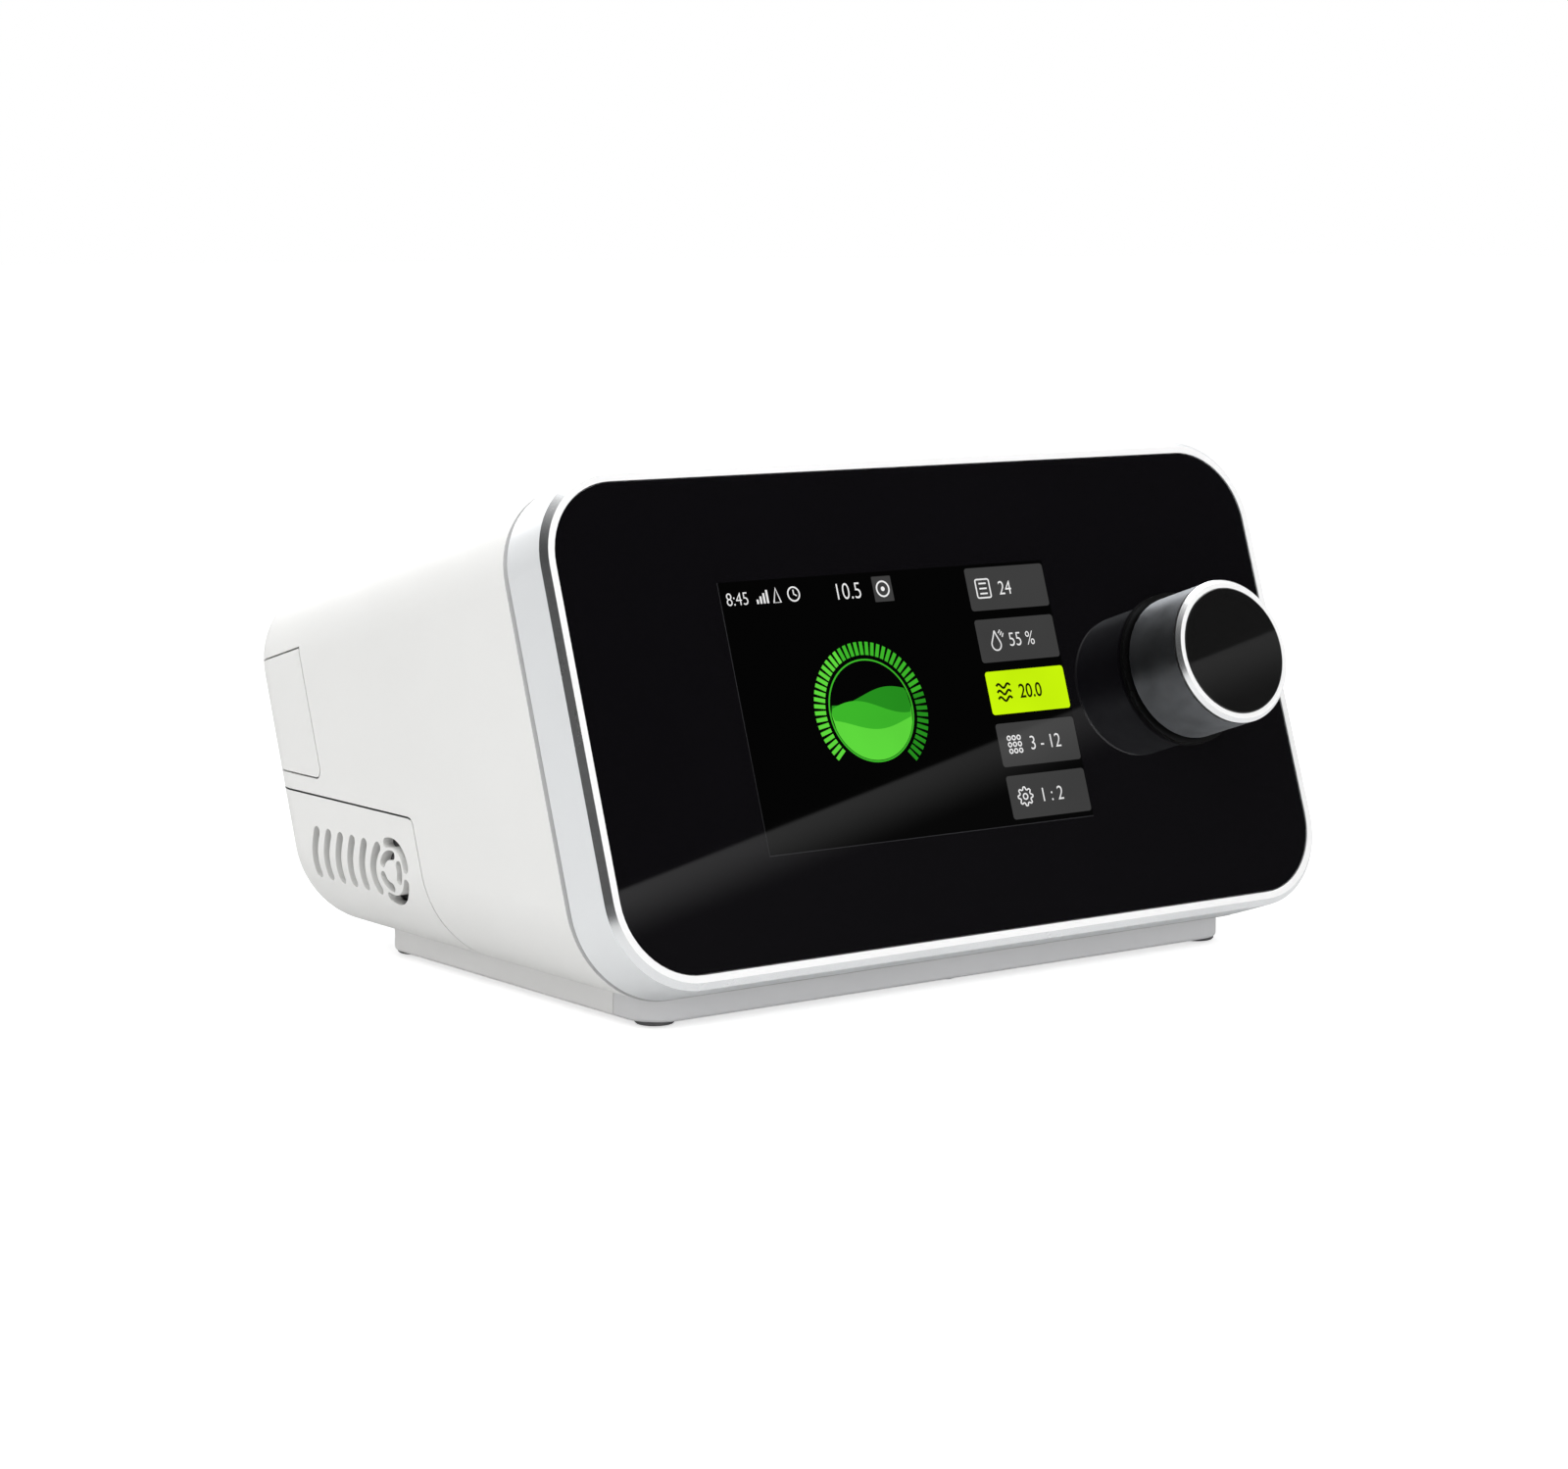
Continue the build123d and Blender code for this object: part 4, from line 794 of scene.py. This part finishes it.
def lamp(name, place, size, power):
    """A soft rectangular lamp that nothing mirrors."""
    data = bpy.data.lights.new(name, "AREA")
    data.shape = "RECTANGLE"
    data.size, data.size_y = size
    data.energy = power
    obj = new_object(name, data)
    obj.location = place
    aimed(obj, lit_point - Vector(place))
    obj.visible_camera = False
    obj.visible_glossy = False


lamp("top_lamp", (-0.4, -0.1, 1.6), size=(1.6, 1.6), power=14.0)
lamp("left_lamp", (-1.3, -0.5, 1.3), size=(1.2, 1.0), power=8.2)
lamp("front_lamp", (0.1, -1.7, 0.8), size=(1.4, 0.8), power=8.0)

# Camera, in metres

camera_turn = radians(36.87)
camera_fall = radians(7.85)
camera_aim = Vector((-0.01661, -0.0128, 0.04982))
camera_distance = 0.79884
look = Vector((sin(camera_turn) * cos(camera_fall), cos(camera_turn) * cos(camera_fall), -sin(camera_fall)))
camera_data = bpy.data.cameras.new("camera")
camera_data.lens = 85.49
camera_data.sensor_fit = "HORIZONTAL"
camera_data.sensor_width = 36
camera_data.clip_end = 50
camera = new_object("camera", camera_data)
camera.location = camera_aim - look * camera_distance
aimed(camera, look)
bpy.context.scene.camera = camera
bpy.context.scene.view_settings.view_transform = "Standard"

# Room: even light, and what glossy surfaces mirror


def mirrored(u, v):
    """The direction in which the front glass mirrors the room at a point."""
    ray = (on_face(u, v) - camera.location).normalized()
    return ray - 2 * ray.dot(outward) * outward


class Room(NodeTree):
    """The nodes of the world, which lights and mirrors by direction."""

    def __init__(self):
        world = bpy.data.worlds.new("studio")
        bpy.context.scene.world = world
        super().__init__(world)
        self.sky = self.tree.nodes["Background"]
        self.rays = self.add("ShaderNodeLightPath").outputs
        self.direction = self.add("ShaderNodeTexCoord").outputs["Generated"]

    def along(self, axis):
        """How far the direction goes along an axis."""
        node = self.add("ShaderNodeVectorMath", operation="DOT_PRODUCT")
        self.link(self.direction, node.inputs[0])
        node.inputs[1].default_value = axis
        return node.outputs["Value"]

    def patch(self, axis, inner, outer, within, around):
        """within up to inner degrees from the axis, changing to around at outer degrees."""
        start, end = cos(radians(outer)), cos(radians(inner))
        return self.ranged(self.along(axis), around, within, start, end, smooth=True)


room = Room()

# a soft box: the glass shows its straight edge on the line through two points
box_left = mirrored(-90.4, 21.6)
box_right = mirrored(31.3, 47.3)
box_blur = 0.0004  # this and the next are sines of small angles
box_depth = 0.015
below = box_left.cross(box_right).normalized()
if below.dot(mirrored(0, 0)) < 0:
    below = -below
sideways = (box_right - box_left).normalized()
depth = room.along(below)
box_edge = room.ranged(depth, 0, 1, -box_blur, box_blur)
box_fade = room.ranged(depth, 1, 0.05, 0, box_depth, smooth=True)
box_level = room.ranged(room.along(sideways), 0.7, 0.35, box_left.dot(sideways), box_right.dot(sideways))
soft_box = room.math("MULTIPLY", room.math("MULTIPLY", box_edge, box_fade), box_level)

# dark before the glass and at the left, bright behind and above
front_dark = room.patch(mirrored(0, 50), inner=11, outer=32, within=0.03, around=1)
side_dark = room.patch(Vector((-0.87, -0.42, 0.26)), inner=14, outer=88, within=0.07, around=1)
back_glow = room.patch(Vector((0.12, 0.8, 0.58)), inner=8, outer=30, within=3.0, around=0)
top_glow = room.patch(Vector((0.35, 0.2, 0.915)), inner=8, outer=22, within=9.0, around=0)
sky_level = room.ranged(room.along(Vector((0, 0, 1))), 0.8, 1.05, -0.1, 0.35, smooth=True)
dark_level = room.math("MULTIPLY", sky_level, room.math("MULTIPLY", front_dark, side_dark))
bright_level = room.math("ADD", soft_box, room.math("ADD", back_glow, top_glow))
mirror_level = room.math("ADD", dark_level, bright_level)

# full white where the room shows, the mirrored level in glossy surfaces, and an even level otherwise
diffuse_level = 0.55
open_ray = room.math("MAXIMUM", room.rays["Is Camera Ray"], room.rays["Is Transmission Ray"])
lit = room.math("ADD", diffuse_level, room.math("MULTIPLY", open_ray, 1 - diffuse_level))
mirror_change = room.math("SUBTRACT", mirror_level, diffuse_level)
change = room.math("MULTIPLY", room.rays["Is Glossy Ray"], mirror_change)
room.link(room.math("ADD", lit, change), room.sky.inputs["Strength"])
room.sky.inputs["Color"].default_value = (1, 1, 1, 1)

# Floor, in metres

floor_reach = 12
floor_drop = 0.0005
floor_glow = 0.68
floor_mirrored = 0.15  # share of the glow that glossy surfaces mirror

surface = Surface("floor", (0.76, 0.76, 0.76), 0.9, specular=0.0)
rays = surface.add("ShaderNodeLightPath").outputs
mirrored_part = surface.math("MULTIPLY", rays["Is Glossy Ray"], floor_mirrored)
seen = surface.math("MAXIMUM", rays["Is Camera Ray"], mirrored_part)
surface.shader.inputs["Emission Color"].default_value = (1, 1, 1, 1)
surface.link(surface.ranged(seen, 0, floor_glow, 0, 1), surface.shader.inputs["Emission Strength"])
# seen from below, the floor is clear
clear = surface.add("ShaderNodeBsdfTransparent")
sides = surface.add("ShaderNodeMixShader")
surface.link(surface.add("ShaderNodeNewGeometry").outputs["Backfacing"], sides.inputs["Fac"])
surface.link(surface.shader.outputs["BSDF"], sides.inputs[1])
surface.link(clear.outputs["BSDF"], sides.inputs[2])
surface.link(sides.outputs["Shader"], surface.tree.nodes["Material Output"].inputs["Surface"])

floor_shape = bmesh.new()
bmesh.ops.create_grid(floor_shape, x_segments=1, y_segments=1, size=floor_reach)
floor_mesh = bpy.data.meshes.new("floor")
floor_shape.to_mesh(floor_mesh)
floor_shape.free()
floor_mesh.materials.append(surface.material)
floor = new_object("floor", floor_mesh)
floor.location.z = -floor_drop
